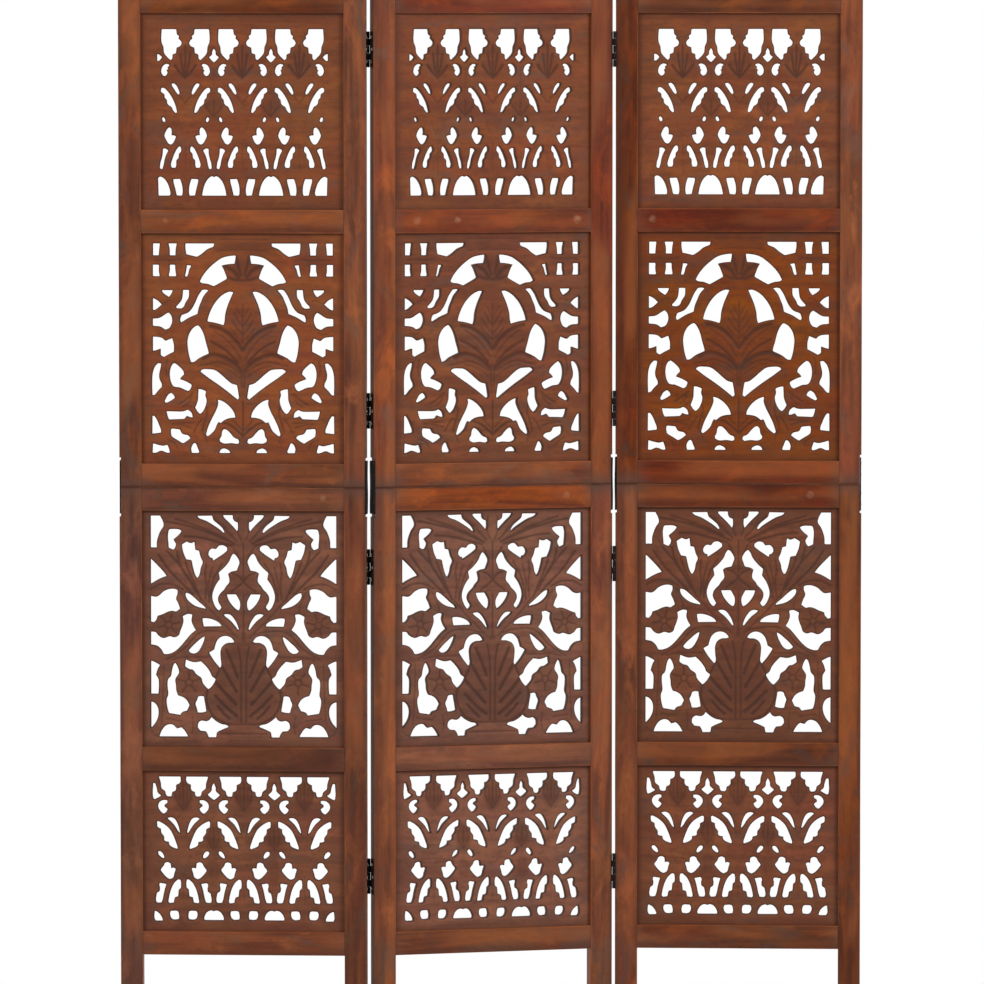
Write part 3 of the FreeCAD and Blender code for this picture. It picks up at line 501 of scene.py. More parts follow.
def curve_through(points, steps, closed):
    """Cubic pieces through the points. The tangent at a point halves its two directions, and at a corner of
    more than 45 degrees each piece leaves along its own chord, so carved corners stay crisp."""
    chord = np.roll(points, -1, 0) - points
    if not closed:
        chord[-1] = chord[-2]
    length, way = np.linalg.norm(chord, axis=1, keepdims=True), unit(chord)
    before = np.roll(way, 1, 0)
    if not closed:
        before[0] = way[0]
    rounded = (way * before).sum(1, keepdims=True) > math.cos(math.radians(45))
    soft = unit(way + before)
    leave, arrive = np.where(rounded, soft, way), np.where(rounded, soft, before)
    count = len(points) if closed else len(points) - 1
    start, end = points[:count, None], np.roll(points, -1, 0)[:count, None]
    go, stop = (leave * length)[:count, None], (np.roll(arrive, -1, 0) * length)[:count, None]
    t = (np.arange(steps) / steps)[None, :, None]
    line = ((2 * t ** 3 - 3 * t ** 2 + 1) * start + (t ** 3 - 2 * t ** 2 + t) * go
            + (3 * t ** 2 - 2 * t ** 3) * end + (t ** 3 - t ** 2) * stop).reshape(-1, 2)
    return line if closed else np.vstack([line, points[-1:]])


def nearest_on(places, line, closed):
    """Distance from each place to a polyline, and the point of the line that is nearest."""
    start = line if closed else line[:-1]
    span = (np.roll(line, -1, 0) if closed else line[1:]) - start
    away = places[:, None] - start
    share = (away * span).sum(-1) / np.maximum((span * span).sum(-1), 1e-12)
    gap = away - np.clip(share, 0, 1)[..., None] * span
    gap_squared = (gap * gap).sum(-1)
    best = gap_squared.argmin(1)
    row = np.arange(len(places))
    return np.sqrt(gap_squared[row, best]), places - gap[row, best]


def within(places, line):
    """Whether each place lies inside a closed polyline: a level ray crosses it an odd number of times."""
    start, end = line, np.roll(line, -1, 0)
    rise = end[:, 1] - start[:, 1]
    level = places[:, 1, None]
    crosses = (start[:, 1] > level) != (end[:, 1] > level)
    reach = start[:, 0] + (end[:, 0] - start[:, 0]) * (level - start[:, 1]) / np.where(rise == 0, 1, rise)
    return (crosses & (places[:, 0, None] < reach)).sum(1) % 2 == 1


def near_line(places, line, reach):
    """Numbers of the places that can lie within reach of a line."""
    return np.flatnonzero(((places >= line.min(0) - reach) & (places <= line.max(0) + reach)).all(1))


def board_axis(length, step):
    """Grid places along one side, from its middle: the held margin, then even steps near the given size."""
    inner = np.linspace(-length / 2, length / 2, int(round(length / step)) + 1)
    return np.concatenate([[-length / 2 - BOARD_HELD], inner, [length / 2 + BOARD_HELD]])


def sawn_face(design, step, rim_width):
    """A board's face as points (across, up), their distance to the nearest hole, and triangles.

    The face is a grid. Points within half a step of an outline move onto it, and cells beyond it are left
    out, as are flat triangles between three points on outlines."""
    height = OPENINGS[design]
    across, up = board_axis(BAY, step), board_axis(height, step) + height / 2
    columns, rows = len(across), len(up)
    grid = np.stack(np.meshgrid(across, up), -1).reshape(-1, 2)
    apart = np.full(len(grid), 50.0)
    target = grid.copy()
    outlines = [grown(curve_through(points, 4, True), SAW_ROOM[design]) for points in holes_of(design)]
    for line in outlines:
        near = near_line(grid, line, rim_width + 2 * step)
        distance, point = nearest_on(grid[near], line, True)
        signed = np.where(within(grid[near], line), -distance, distance)
        closer = signed < apart[near]
        apart[near[closer]] = signed[closer]
        target[near[closer]] = point[closer]
    on_edge = np.abs(apart) <= 0.52 * step
    face = np.where(on_edge[:, None], target, grid)
    apart[on_edge] = 0.0

    a = (np.arange(rows - 1)[:, None] * columns + np.arange(columns - 1)).reshape(-1)
    b, c, d = a + 1, a + columns + 1, a + columns
    other = (on_edge[b] & on_edge[d] & ~(on_edge[a] & on_edge[c]))[:, None]
    triangles = np.vstack([np.where(other, np.stack([a, b, d], 1), np.stack([a, b, c], 1)),
                           np.where(other, np.stack([b, c, d], 1), np.stack([a, c, d], 1))])
    triangles = triangles[~(apart < 0)[triangles].any(1)]
    doubtful = np.flatnonzero(on_edge[triangles].all(1))
    corners = face[triangles[doubtful]]
    centre = corners.mean(1)
    left_out = np.zeros(len(doubtful), bool)
    for line in outlines:
        near = near_line(centre, line, 0)
        left_out[near] |= within(centre[near], line)
    side_a, side_b = corners[:, 1] - corners[:, 0], corners[:, 2] - corners[:, 0]
    left_out |= np.abs(side_a[:, 0] * side_b[:, 1] - side_a[:, 1] * side_b[:, 0]) < 0.02
    return face, apart, np.delete(triangles, doubtful[left_out], 0)


def carving_of(design, face, spread):
    """Carved depth, and darkness of the stain and of the painted shade, at each point of a face. Each carved
    line is a groove whose depth falls with the distance from it, at first steeply and then gently, out to
    its width times the spread. The stain falls off as an ellipse about each place of STAIN_SHARES. Painted
    shade, with pooling stain, falls off away from the frame and is weaker beside the right side and the foot
    of the opening, so it lies darkest at the left and the top, where the frame's shadow falls."""
    carved, stain_and_frame_shade = np.zeros(len(face)), np.zeros(len(face))
    for width, depth, points in lines_of(design):
        line = curve_through(points, 5, False)
        reach = width * spread
        near = near_line(face, line, reach)
        distance, _ = nearest_on(face[near], line, False)
        carved[near] = np.maximum(carved[near], depth * np.clip(1 - distance / reach, 0, 1) ** 1.6)
    across, up = face.T
    for right, high, wide, tall, share in STAIN_SHARES[design]:
        away = ((np.abs(across) - right) / wide) ** 2 + ((up - high) / tall) ** 2
        stain_and_frame_shade = np.maximum(stain_and_frame_shade, share * np.clip(1 - away, 0, 1) ** 0.5)
    # Painted shade beside the frame, with pooling stain: darkest at the left and top of the opening, where
    # the frame's shadow falls
    to_frame = np.minimum(np.minimum(across + BAY / 2, BAY / 2 + 7 - across),
                          np.minimum(OPENINGS[design] - up, up + 3))
    return carved, np.maximum(stain_and_frame_shade, FRAME_SHADE_AND_STAIN * np.exp(-np.maximum(to_frame, 0) / FRAME_SHADE_REACH))


def carved_board(design, step, rim_width, rim_depth, spread):
    """One board as points (across, depth, up), triangles and attributes: nearness to a sawn edge, carved
    depth, and darkness of the stain and of the painted shade beside the frame. Depth is a slow wave and the
    larger of the carving and the rim, which falls off as the square of the distance to the nearest hole.
    Walls join the face to the back along every open edge."""
    face, apart, triangles = sawn_face(design, step, rim_width)
    carved, stain_and_frame_shade = carving_of(design, face, spread)
    rim = rim_depth * np.clip(1 - np.maximum(apart, 0) / rim_width, 0, 1) ** 2
    uneven = 0.12 * (np.sin(face[:, 0] / 17 + 1) * np.sin(face[:, 1] / 23) + 1)
    depth = np.maximum(carved, rim) + uneven

    used, triangles = np.unique(triangles, return_inverse=True)
    triangles = triangles.reshape(-1, 3)
    face, depth, apart, carved, stain_and_frame_shade = (values[used] for values in (face, depth, apart, carved, stain_and_frame_shade))
    count = len(used)
    edges = np.concatenate([triangles[:, [0, 1]], triangles[:, [1, 2]], triangles[:, [2, 0]]])
    _, index, times = np.unique(np.sort(edges, 1) @ [count, 1], return_index=True, return_counts=True)
    border = edges[index[times == 1]]
    rim_points, border_row = np.unique(border, return_inverse=True)
    second_ring = 2 * count + border_row.reshape(-1, 2)
    third_ring = second_ring + len(rim_points)

    def layer(chosen, y):
        return np.stack([face[chosen, 0], np.zeros(len(face[chosen])) + y, face[chosen, 1]], 1)

    def wall(near, far):
        return np.vstack([np.stack([near[:, 1], near[:, 0], far[:, 0]], 1),
                          np.stack([near[:, 1], far[:, 0], far[:, 1]], 1)])

    points = np.vstack([layer(slice(None), depth), layer(slice(None), BOARD_THICKNESS),
                        layer(rim_points, WALL_START), layer(rim_points, BOARD_THICKNESS - WALL_END)])
    faces = np.vstack([triangles, triangles[:, ::-1] + count, wall(border, second_ring),
                       wall(second_ring, third_ring), wall(third_ring, border + count)])
    # Nearness to a sawn edge: darker stain in the sawn end grain, and painted shade on the rims and walls
    edge_near = np.exp(-np.maximum(apart, 0) / SAWN_REACH)
    plain = np.zeros(count + 2 * len(rim_points))
    return points, faces.tolist(), {
        "sawn": np.concatenate([edge_near, 0.6 * edge_near, np.ones(2 * len(rim_points))]),
        "carved": np.concatenate([np.clip(carved / FULL_CARVING, 0, 1), plain]),
        "stain_and_frame_shade": np.concatenate([stain_and_frame_shade, plain]),
    }


def axis_in(leaf, gap):
    """Where a leaf has the axis of a row of hinges: past its edge, and off its back or its front."""
    past_right = leaf == "left" or (leaf, gap) == ("centre", "right")
    return np.array([LEAF_WIDTH + HINGE_GAP / 2 if past_right else -HINGE_GAP / 2,
                     LEAF_THICKNESS + STAND_OFF if gap == "left" else -STAND_OFF])


def leaf_place(leaf):
    """A leaf's turn and corner. The centre leaf turns until its two hinge axes lie on the CAD's, the others
    turn back by their fold, and each corner is the axis less the turned place of the axis in the leaf."""
    pins = {gap: np.array(JOINTS[gap + "_hinge"]["pos_m"][:2]) / MM for gap in ("left", "right")}
    seen, drawn = pins["right"] - pins["left"], axis_in("centre", "right") - axis_in("centre", "left")
    turn = math.atan2(seen[1], seen[0]) - math.atan2(drawn[1], drawn[0]) - FOLDS[leaf]
    gap = "right" if leaf == "right" else "left"
    matrix = np.array([[math.cos(turn), -math.sin(turn)], [math.sin(turn), math.cos(turn)]])
    return matrix, pins[gap] - matrix @ axis_in(leaf, gap)


def tube_faces(rows, columns):
    """Quads of a grid that closes on itself across its columns, and a cap on its first and last row."""
    corner = np.arange(rows * columns).reshape(rows, columns)
    after = np.roll(corner, -1, 1)
    quads = np.stack([corner[:-1], after[:-1], after[1:], corner[1:]], -1).reshape(-1, 4)
    return [*quads.tolist(), corner[0].tolist(), corner[-1, ::-1].tolist()]


def new_piece(name, leaf, slot, points, faces, attributes, sharp, replaced=(), clean=True):
    """A mesh object from points in a leaf's own axes, in millimetres, turned and moved with the leaf into
    the frame, in metres. It rides on the leaf's body."""
    matrix, corner = leaf_place(leaf)
    mesh = bpy.data.meshes.new(name)
    mesh.from_pydata(np.column_stack([points[:, :2] @ matrix.T + corner, points[:, 2]]) * MM, [], faces)
    for key, values in attributes.items():
        kind, field = ("FLOAT_VECTOR", "vector") if values.ndim == 2 else ("FLOAT", "value")
        layer = mesh.attributes.new(key, kind, "POINT")
        layer.data.foreach_set(field, np.ascontiguousarray(values, np.float32).ravel())
    if clean:
        shape = bmesh.new()
        shape.from_mesh(mesh)
        bmesh.ops.remove_doubles(shape, verts=shape.verts, dist=1e-6)
        bmesh.ops.recalc_face_normals(shape, faces=shape.faces)
        shape.to_mesh(mesh)
        shape.free()
    mesh.polygons.foreach_set("use_smooth", np.ones(len(mesh.polygons), bool))
    mesh.set_sharp_from_angle(angle=math.radians(sharp))
    mesh.update()
    piece = bpy.data.objects.new(name, mesh)
    bpy.context.scene.collection.objects.link(piece)
    mesh.materials.append(bpy.data.materials[FINISHES[slot]])
    if replaced:
        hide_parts(*replaced)
    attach(piece, leaf + "_leaf")


def gathered(shapes):
    """Several shapes, each points and faces, as one."""
    starts = np.cumsum([0, *(len(points) for points, _ in shapes)])
    faces = [[int(corner + start) for corner in face]
             for (_, quads), start in zip(shapes, starts) for face in quads]
    return np.vstack([points for points, _ in shapes]), faces


def iron_piece(name, leaf, shapes, replaced=(), bare=0.0, flip=(1, 1, 1), offset=(0, 0, 0)):
    """Shapes of iron as one piece, turned over and moved in the leaf's axes. Bare is how much of the black
    is gone."""
    points, faces = gathered(shapes)
    points = points * flip + offset
    attributes = {"grain_place": points * MM, "worn": np.full(len(points), bare)}
    new_piece(name, leaf, "dark_iron", points, faces, attributes, 40, replaced)


def number_of(name):
    """A steady number for a piece, from its letters."""
    return sum((place + 1) * ord(letter) for place, letter in enumerate(name)) % 997


def wood_attributes(name, places):
    """Where each point lies in the grain, of which each member has its own stretch, and the member's depth
    of colour and lightness: a steady share of its own, richer in the upper half, and that of MEMBERS."""
    seed = number_of(name)
    leaf, member = name.rsplit("_", 1)[0].split("_", 1)
    richer, lighter = MEMBERS[leaf].get(member, (0, 0))
    right_frame = leaf == "right" and name.endswith("timber")
    upper = any(word in name for word in ("upper", "bud", "tall"))
    tone = 0.4 + 0.2 * upper + 0.15 * right_frame + 0.2 * ((seed * 7 % 101) / 101 - 0.5) + richer
    shade = 0.5 - 0.12 * right_frame + 0.2 * ((seed * 13 % 89) / 88 - 0.5) + lighter
    return {"grain_place": places * MM + seed * np.array([0.37, 0.083, 0.029]),
            "tone": np.full(len(places), tone), "shade": np.full(len(places), shade)}


def bar_section(wide, arris):
    """The section of a bar as points (across, through) around it, each with marks: whether it lies in the
    groove, beside a plate at the back, beside a plate at the front, and its edge, 1 for the high and -1 for
    the low one. The high half is drawn and its mirror image added, and the first point is moved to the low
    edge of the front."""
    thick = LEAF_THICKNESS
    groove = (thick - GROOVE_WIDTH) / 2, (thick + GROOVE_WIDTH) / 2
    turn = np.radians([0, 30, 60, 90])
    bow = np.stack([np.sin(turn), 1 - np.cos(turn)], 1) * arris
    faces = [wide / 2, *(wide - margin for margin in FACE_MARGINS)]
    edge = [(FACE_MARGINS[1], 0, 0, 1), (thick - PLATE_DEPTH, 0, 0, 1), (thick - PLATE_DEPTH, 0, 1, 1),
            (groove[0], 0, 1, 1), (groove[0], 1, 1, 1), (groove[1], 1, 1, 1), (groove[1], 0, 1, 1),
            (PLATE_DEPTH, 0, 1, 1), (PLATE_DEPTH, 0, 1, 0), (thick - FACE_MARGINS[1], 0, 1, 0)]
    high = np.array([(a, 0, 0, 0, 1, 0) for a in faces]
                    + [(wide - arris + x, y, 0, 0, 1, 1) for x, y in bow]
                    + [(wide, b, *marks, 1) for b, *marks in edge]
                    + [(wide - arris + x, thick - y, 0, 1, 0, 1) for x, y in bow[::-1]]
                    + [(a, thick, 0, 1, 0, 0) for a in faces[::-1]])
    low = high[-2:0:-1] * [-1, 1, 1, 1, 1, -1] + [wide, 0, 0, 0, 0, 0]
    section = np.roll(np.vstack([high, low]), len(FACE_MARGINS), 0)
    return section[:, :2], section[:, 2:].T


def edge_stain(a, wide, stain):
    """Darkness of the stain beside a bar's low and high edge: each a share that falls with the distance."""
    (low, low_reach), (high, high_reach) = stain
    return np.maximum(low * np.exp(-a / low_reach), high * np.exp(-(wide - a) / high_reach))


def bar(name, leaf, length, wide, to_leaf, stain, grooves, rebates=(), plates=(), tenons=0.0):
    """A stile or rail: the section carried along its length, one row of points per place.

    Grooves, rebates and plates are lists of (edge, from, to), plates also with the face they reach. Within
    a rebate or beside a plate the points of that edge are held back by its depth, the groove's points by the
    groove's depth, and in a tenon all points are held within its thickness. The planed faces wander in slow
    waves. Attributes tell how near each point is to an arris, a joint, an edge and the meeting line."""
    sizes = bpy.context.scene.screen_timber
    arris, soft, sway = sizes.arris / MM, sizes.end_softening / MM, sizes.sway / MM
    section, (in_groove, at_back, at_front, side) = bar_section(wide, arris)
    steps = [at for item in (*grooves, *rebates, *plates) for at in item[1:3] if 1 < at < length - 1]
    steps += [tenons, length - tenons] if tenons else []
    even = np.linspace(soft, length - soft, max(int(length / ROW_SPACING), 2))
    even = np.concatenate([even, [tenons + 2, tenons + 6, length - tenons - 6, length - tenons - 2]])
    level = np.concatenate([[0, length], even, steps, steps])
    asked = np.concatenate([[1e-3, length - 1e-3], even, np.array(steps) - 1e-3, np.array(steps) + 1e-3])
    order = np.argsort(asked)
    level, asked = level[order, None], asked[order, None]
    a, b = (np.repeat(section[None, :, part], len(level), 0) for part in (0, 1))

    def rows_in(start, end):
        return (asked > start) & (asked < end)

    for edge, start, end in grooves:
        a -= edge * GROOVE_DEPTH * rows_in(start, end) * in_groove * (side == edge)
    seed = number_of(name)
    wave = [sway * (0.5 + 0.5 * np.sin(level / (61.0 + 9 * k) + seed + 2.1 * k) * np.cos(level / 143.0 + k))
            for k in range(4)]
    room = {-1: wave[0] + np.zeros_like(a), 1: wide - wave[1] + np.zeros_like(a)}
    for edge, start, end in rebates:
        room[edge] -= edge * REBATE_DEPTH * rows_in(start, end)
    for edge, start, end, reach in plates:
        beside = (at_back if reach == "back" else at_front) * (side == edge)
        room[edge] -= edge * PLATE_THICKNESS * rows_in(start, end) * beside
    inset = np.where(((level < 1e-6) | (level > length - 1e-6)) & (tenons == 0), soft, 0.0)
    a = np.clip(a, room[-1] + inset, room[1] - inset)
    b = np.clip(b, wave[2] + inset, LEAF_THICKNESS - wave[3] - inset)
    if tenons:
        in_tenon = ~rows_in(tenons, length - tenons)
        cheek = (LEAF_THICKNESS - TENON_THICKNESS) / 2
        b = np.where(in_tenon, np.clip(b, cheek, LEAF_THICKNESS - cheek), b)
        a = np.where(in_tenon, np.clip(a, 0.3, wide - 0.3), a)
    to_edge = np.minimum(a - wave[0], wide - wave[1] - a)
    along = np.repeat(level, len(section), 1)
    to_face, to_end = np.minimum(b, LEAF_THICKNESS - b), np.minimum(along, length - along)
    worn = np.exp(-np.maximum(to_edge, to_face) / WEAR_REACH)
    if not tenons:
        worn = np.maximum(worn, np.exp(-to_end / WEAR_REACH) * 0.7)
    inward = np.maximum(to_end - tenons, 0)
    beside_joint = np.exp(-inward / SMUDGE_INWARD).ravel() if tenons else 1.0
    grooved = np.isin(side, [edge for edge, _, _ in grooves])
    places = np.stack([along, a, b], -1).reshape(-1, 3)
    points = to_leaf(places)
    to_meeting = np.abs(points[:, 2] - MEETING)
    attributes = {
        "worn": worn.ravel(), "margin": edge_stain(a, wide, stain).ravel(),
        "joint": np.maximum(np.exp(-inward / JOINT_REACH), 0.7 * np.exp(-inward / JOINT_SPREAD)).ravel(),
        # Painted shadow along the crack where lower and upper frames meet
        "meeting": np.exp(-to_meeting / LINE_REACH),
        "smudge": np.exp(-to_meeting / SMUDGE_REACH) * beside_joint,
        # Painted light on the faces beside the boards, which lightens their shade
        "inside": (grooved * np.clip(to_face / arris, 0, 1)).ravel(), **wood_attributes(name, places),
    }
    new_piece(name, leaf, "frame_timber", points, tube_faces(*along.shape), attributes, 30,
              [name.replace("_timber", "")])


def stiles(leaf):
    """The four uprights of a leaf."""
    for half, bottom, top in (("lower", 0.0, MEETING), ("upper", MEETING, TOP)):
        for side, left in (("left", 0.0), ("right", LEAF_WIDTH - STILE_FACE)):
            inner = 1 if side == "left" else -1
            middle = MEETING - bottom
            face = HINGED_EDGES.get((leaf, side))
            plates = [(-inner, z - bottom - HINGE_LENGTH / 2, z - bottom + HINGE_LENGTH / 2, face)
                      for z in HINGE_MIDDLES if face and bottom < z < top]
            stain = HINGED_STAIN if side == "left" and leaf != "left" else OUTER_STAIN, INNER_STAIN

            def to_leaf(p, left=left, bottom=bottom):
                return np.stack([p[:, 1] + left, p[:, 2], p[:, 0] + bottom], 1)

            bar(f"{leaf}_{half}_{side}_stile_timber", leaf, top - bottom, STILE_FACE, to_leaf,
                stain[::inner], [(inner, FOOT_HEIGHT if half == "lower" else -1.0, top - bottom + 1)],
                [(-inner, middle - REBATE_LENGTH / 2, middle + REBATE_LENGTH / 2)], plates)


def rails(leaf):
    """The six level members of a leaf, with their tenons in the stiles' grooves."""
    length = BAY + 2 * TENON_LENGTH
    for half, heights in RAIL_HEIGHTS.items():
        for place, (rail, bottom) in enumerate(zip(RAIL_NAMES, heights)):
            edges = [edge for edge, present in ((-1, place > 0), (1, place < 2)) if present]

            def to_leaf(p, bottom=bottom):
                return np.stack([p[:, 0] + STILE_FACE - TENON_LENGTH, p[:, 2], p[:, 1] + bottom], 1)

            bar(f"{leaf}_{half}_{rail}_timber", leaf, length, RAIL_FACE, to_leaf, RAIL_STAIN,
                [(edge, -1, length + 1) for edge in edges], tenons=TENON_LENGTH)


def revolved(radius, height, turns):
    """A profile of radii and heights turned about the height: points and faces. The heights may also differ
    around each ring."""
    radius, height = np.array(radius, float)[:, None], np.array(height, float)
    ring = radius[..., None] * circle(2 * math.pi * np.arange(turns) / turns)
    height = height if height.ndim == 2 else np.repeat(height[:, None], turns, 1)
    return np.concatenate([ring, height[..., None]], -1).reshape(-1, 3), tube_faces(len(radius), turns)


def screw_head(radius, dome):
    """A screw's head seen from outside: (across, up, out). Its height is a shallow dome of the radius, less
    a cross-shaped recess whose depth grows towards the middle."""
    turns = 32
    share = np.array([1.0, 1.0, 0.97, 0.86, 0.7, 0.58, 0.5, 0.4, 0.28, 0.18, 0.08])[:, None]
    across, up = radius * share * circle(2 * math.pi * np.arange(turns) / turns).T[:, None]
    out = dome * (1 - share ** 2) + np.zeros_like(across)
    out[0] -= 1.2
    in_arm = np.minimum(np.abs(across), np.abs(up)) < 0.13 * radius
    recess = in_arm & (np.hypot(across, up) < 0.55 * radius)
    return revolved(radius * share[:, 0], out - recess * 0.5 * radius * (0.75 - share), turns)


def slab(across, up, corner, thick, soften):
    """A flat plate (across, up, out) with rounded corners and softened edges: its outline is carried from
    the back face over the edge to the front face, drawn in by the softening on both."""
    turn = np.linspace(0, math.pi / 2, 5)
    outline = np.vstack([[x, y] * np.array([across / 2 - corner, up / 2 - corner])
                         + corner * circle(turn + quarter * math.pi / 2)
                         for quarter, (x, y) in enumerate([(1, 1), (-1, 1), (-1, -1), (1, -1)])])
    rows = [(soften, 0.0), (0.3 * soften, 0.3 * soften), (0.0, soften), (0.0, thick - soften),
            (0.3 * soften, thick - 0.3 * soften), (soften, thick)]
    points = np.vstack([np.column_stack([outline - np.sign(outline) * inset, np.full(len(outline), out)])
                        for inset, out in rows])
    return points, tube_faces(len(rows), len(outline))


def strap_rise(across, up, toward, phase):
    """How far a strap stands out beside a hinge: a wedge towards the barrel, with a slow wave up its length,
    as a strap bent by hand. It keeps clear of the other strap when a leaf swings past level."""
    share = (1 + toward * across / (STRAP_WIDTH / 2)) / 2
    return 0.6 + 0.9 * share * (1 + 0.3 * np.sin(up / 12 + phase))


def strap_shape(toward, phase):
    """A strap (across, up, out): a softened rectangle carried up its length, its width drawn in over the
    rounded ends, its outer face raised by the strap's rise."""
    corner, soft = STRAP_CORNER, STRAP_SOFT
    up = STRAP_LENGTH / 2 * np.sin(np.radians(np.linspace(-90, 90, 31)))
    beyond = np.maximum(np.abs(up) - (STRAP_LENGTH / 2 - corner), 0)
    half = (STRAP_WIDTH / 2 - corner + np.sqrt(corner ** 2 - beyond ** 2))[:, None]
    side = np.array([-1, -1, 1, 1, 1, 1, 0.3, -0.3, -1, -1.0])
    inset = soft * np.array([0, 1, 1, 0, 0, 1, 0, 0, 1, 0])
    low = soft * np.array([1, 0, 0, 1, 0, 0, 0, 0, 0, 0])
    top = np.array([0, 0, 0, 0, 1, 1, 1, 1, 1, 1])
    drop = soft * np.array([0, 0, 0, 0, 1, 0, 0, 0, 0, 1])
    across = half * side - np.sign(side) * inset
    rise = strap_rise(across, up[:, None], toward, phase) if toward else 0.0
    out = low + top * (STRAP_THICKNESS + rise - drop) + np.zeros_like(across)
    points = np.stack([across, np.repeat(up[:, None], len(side), 1), out], -1).reshape(-1, 3)
    return points, tube_faces(len(up), len(side))


def straps(leaf):
    """The two straps of a leaf in their rebates, bent out a little beside a hinge, and their screws."""
    plates, heads = [], []
    for side, edge, floor in ((-1, "left", REBATE_DEPTH), (1, "right", LEAF_WIDTH - REBATE_DEPTH)):
        toward = {"back": 1, "front": -1, None: 0}[HINGED_EDGES.get((leaf, edge))]
        phase = number_of(leaf + edge)

        def to_leaf(shape, move=(0, 0, 0), side=side, floor=floor):
            across, up, out = (shape[0] + move).T
            return np.stack([floor + side * out, LEAF_THICKNESS / 2 + across, MEETING + up], 1), shape[1]

        plates.append(to_leaf(strap_shape(toward, phase)))
        for rise, aside in STRAP_SCREWS:
            across = SCREW_SHIFT * toward + aside
            out = STRAP_THICKNESS + (strap_rise(across, rise, toward, phase) - 0.25 if toward else 0.0)
            heads.append(to_leaf(screw_head(*STRAP_SCREW), [across, rise, out]))
    iron_piece(f"{leaf}_straps_iron", leaf, plates, [f"{leaf}_joining_straps"])
    iron_piece(f"{leaf}_strap_screws", leaf, heads)


def knuckle_curl(bottom, length):
    """One knuckle: a strip that runs up from the plate and curls round the pin. The strip's section
    (through, up), with softened corners, is carried along a line and then an arc of the middle radius."""
    middle = BARREL_RADIUS - CURL_THICKNESS / 2
    arc = circle(np.radians(np.linspace(180, -82, 23)))
    path = np.vstack([[(-HINGE_GAP / 2 - 0.5 * PLATE_THICKNESS, -STAND_OFF - 1.0),
                       (-middle - 0.25, 0.4 - STAND_OFF), (-middle, -STAND_OFF / 2)], middle * arc])
    out = np.vstack([[[-1.0, 0.0]] * 3, arc])
    half, soft = CURL_THICKNESS / 2, 0.2
    section = np.array([(-half, soft), (-half + soft, 0), (half - soft, 0), (half, soft),
                        (half, length - soft), (half - soft, length), (-half + soft, length),
                        (-half, length - soft)])
    flat = path[:, None] + out[:, None] * section[None, :, :1]
    high = np.repeat(section[None, :, 1:] + bottom, len(path), 0)
    return np.concatenate([flat, high], -1).reshape(-1, 3), tube_faces(len(path), len(section))


def hinge_row(gap, leaf):
    """The plates of one side of a row of four hinges, with their knuckles and screws. Drawn beside the axis
    in plan, to its left and below it, then mirrored for the centre leaf and turned half round for the right
    row. The outer leaf has the first knuckle."""
    centre = leaf == "centre"
    pitch = HINGE_LENGTH / KNUCKLES
    plates, heads = [], []

    def on_wall(shape, inward, out, up):
        points, faces = shape
        return np.stack([out - HINGE_GAP / 2 + points[:, 2], points[:, 0] - STAND_OFF - inward,
                         points[:, 1] + up], 1), faces

    for middle in HINGE_MIDDLES:
        plate = slab(PLATE_DEPTH, HINGE_LENGTH, PLATE_CORNER, PLATE_THICKNESS, PLATE_SOFT)
        plates.append(on_wall(plate, PLATE_DEPTH / 2, -PLATE_THICKNESS, middle))
        foot = middle - HINGE_LENGTH / 2 + KNUCKLE_GAP / 2
        plates += [knuckle_curl(foot + count * pitch, pitch - KNUCKLE_GAP)
                   for count in range(1 if centre else 0, KNUCKLES, 2)]
        heads += [on_wall(screw_head(*HINGE_SCREW), inward, 0, middle + rise)
                  for rise, inward in HINGE_SCREWS]
    turned = -1 if gap == "right" else 1
    flip, offset = (-turned if centre else turned, turned, 1), [*axis_in(leaf, gap), 0]
    iron_piece(f"{gap}_hinge_{leaf}_leaf_plates", leaf, plates, [f"{gap}_hinge_{leaf}_plates"], 0.0, flip,
               offset)
    iron_piece(f"{gap}_hinge_{leaf}_leaf_screws", leaf, heads, (), 1.0, flip, offset)


def hinge_pins(gap):
    """The pins of a row, each a round bar with a low domed head at both ends. They ride on the outer leaf,
    whose name is the gap's."""
    half = HINGE_LENGTH / 2
    points, faces = revolved([0.2, 0.9, PIN_RADIUS, PIN_RADIUS, 0.9, 0.2],
                             [-half, -half + 0.15, -half + 0.6, half - 0.6, half - 0.15, half], 20)
    iron_piece(f"{gap}_hinge_pins_iron", gap, [(points + [*axis_in(gap, gap), middle], faces)
                                               for middle in HINGE_MIDDLES], [f"{gap}_hinge_pins"])


def fillers(leaf):
    """Pale spots over pins and worn places: thin discs in the rails' faces with the rail's own grain, and a
    share of filler that falls off as the square of the distance from the disc's middle."""
    shapes, kinds = [], []
    for owner, half, rail, across, radius, share in SPOTS:
        if owner == leaf:
            disc, faces = revolved([radius, radius, 0.75 * radius, 0.5 * radius, 0.25 * radius, 0.2],
                                   [SPOT_DEPTH] + 5 * [-SPOT_PROUD], 16)
            level, up, depth = (disc + [across, RAIL_FACE * SPOT_HEIGHT, 0]).T
            shapes.append((np.stack([level, depth, up + RAIL_HEIGHTS[half][rail]], 1), faces))
            places = np.stack([level - STILE_FACE + TENON_LENGTH, up, depth], 1)
            kinds.append({"filler": share * (1 - (disc[:, :2] ** 2).sum(1) / radius ** 2),
                          "margin": edge_stain(up, RAIL_FACE, RAIL_STAIN),
                          **wood_attributes(f"{leaf}_{half}_{RAIL_NAMES[rail]}_timber", places)})
    attributes = {key: np.concatenate([kind[key] for kind in kinds]) for key in kinds[0]}
    new_piece(f"{leaf}_joint_fillers", leaf, "frame_timber", *gathered(shapes), attributes, 50)


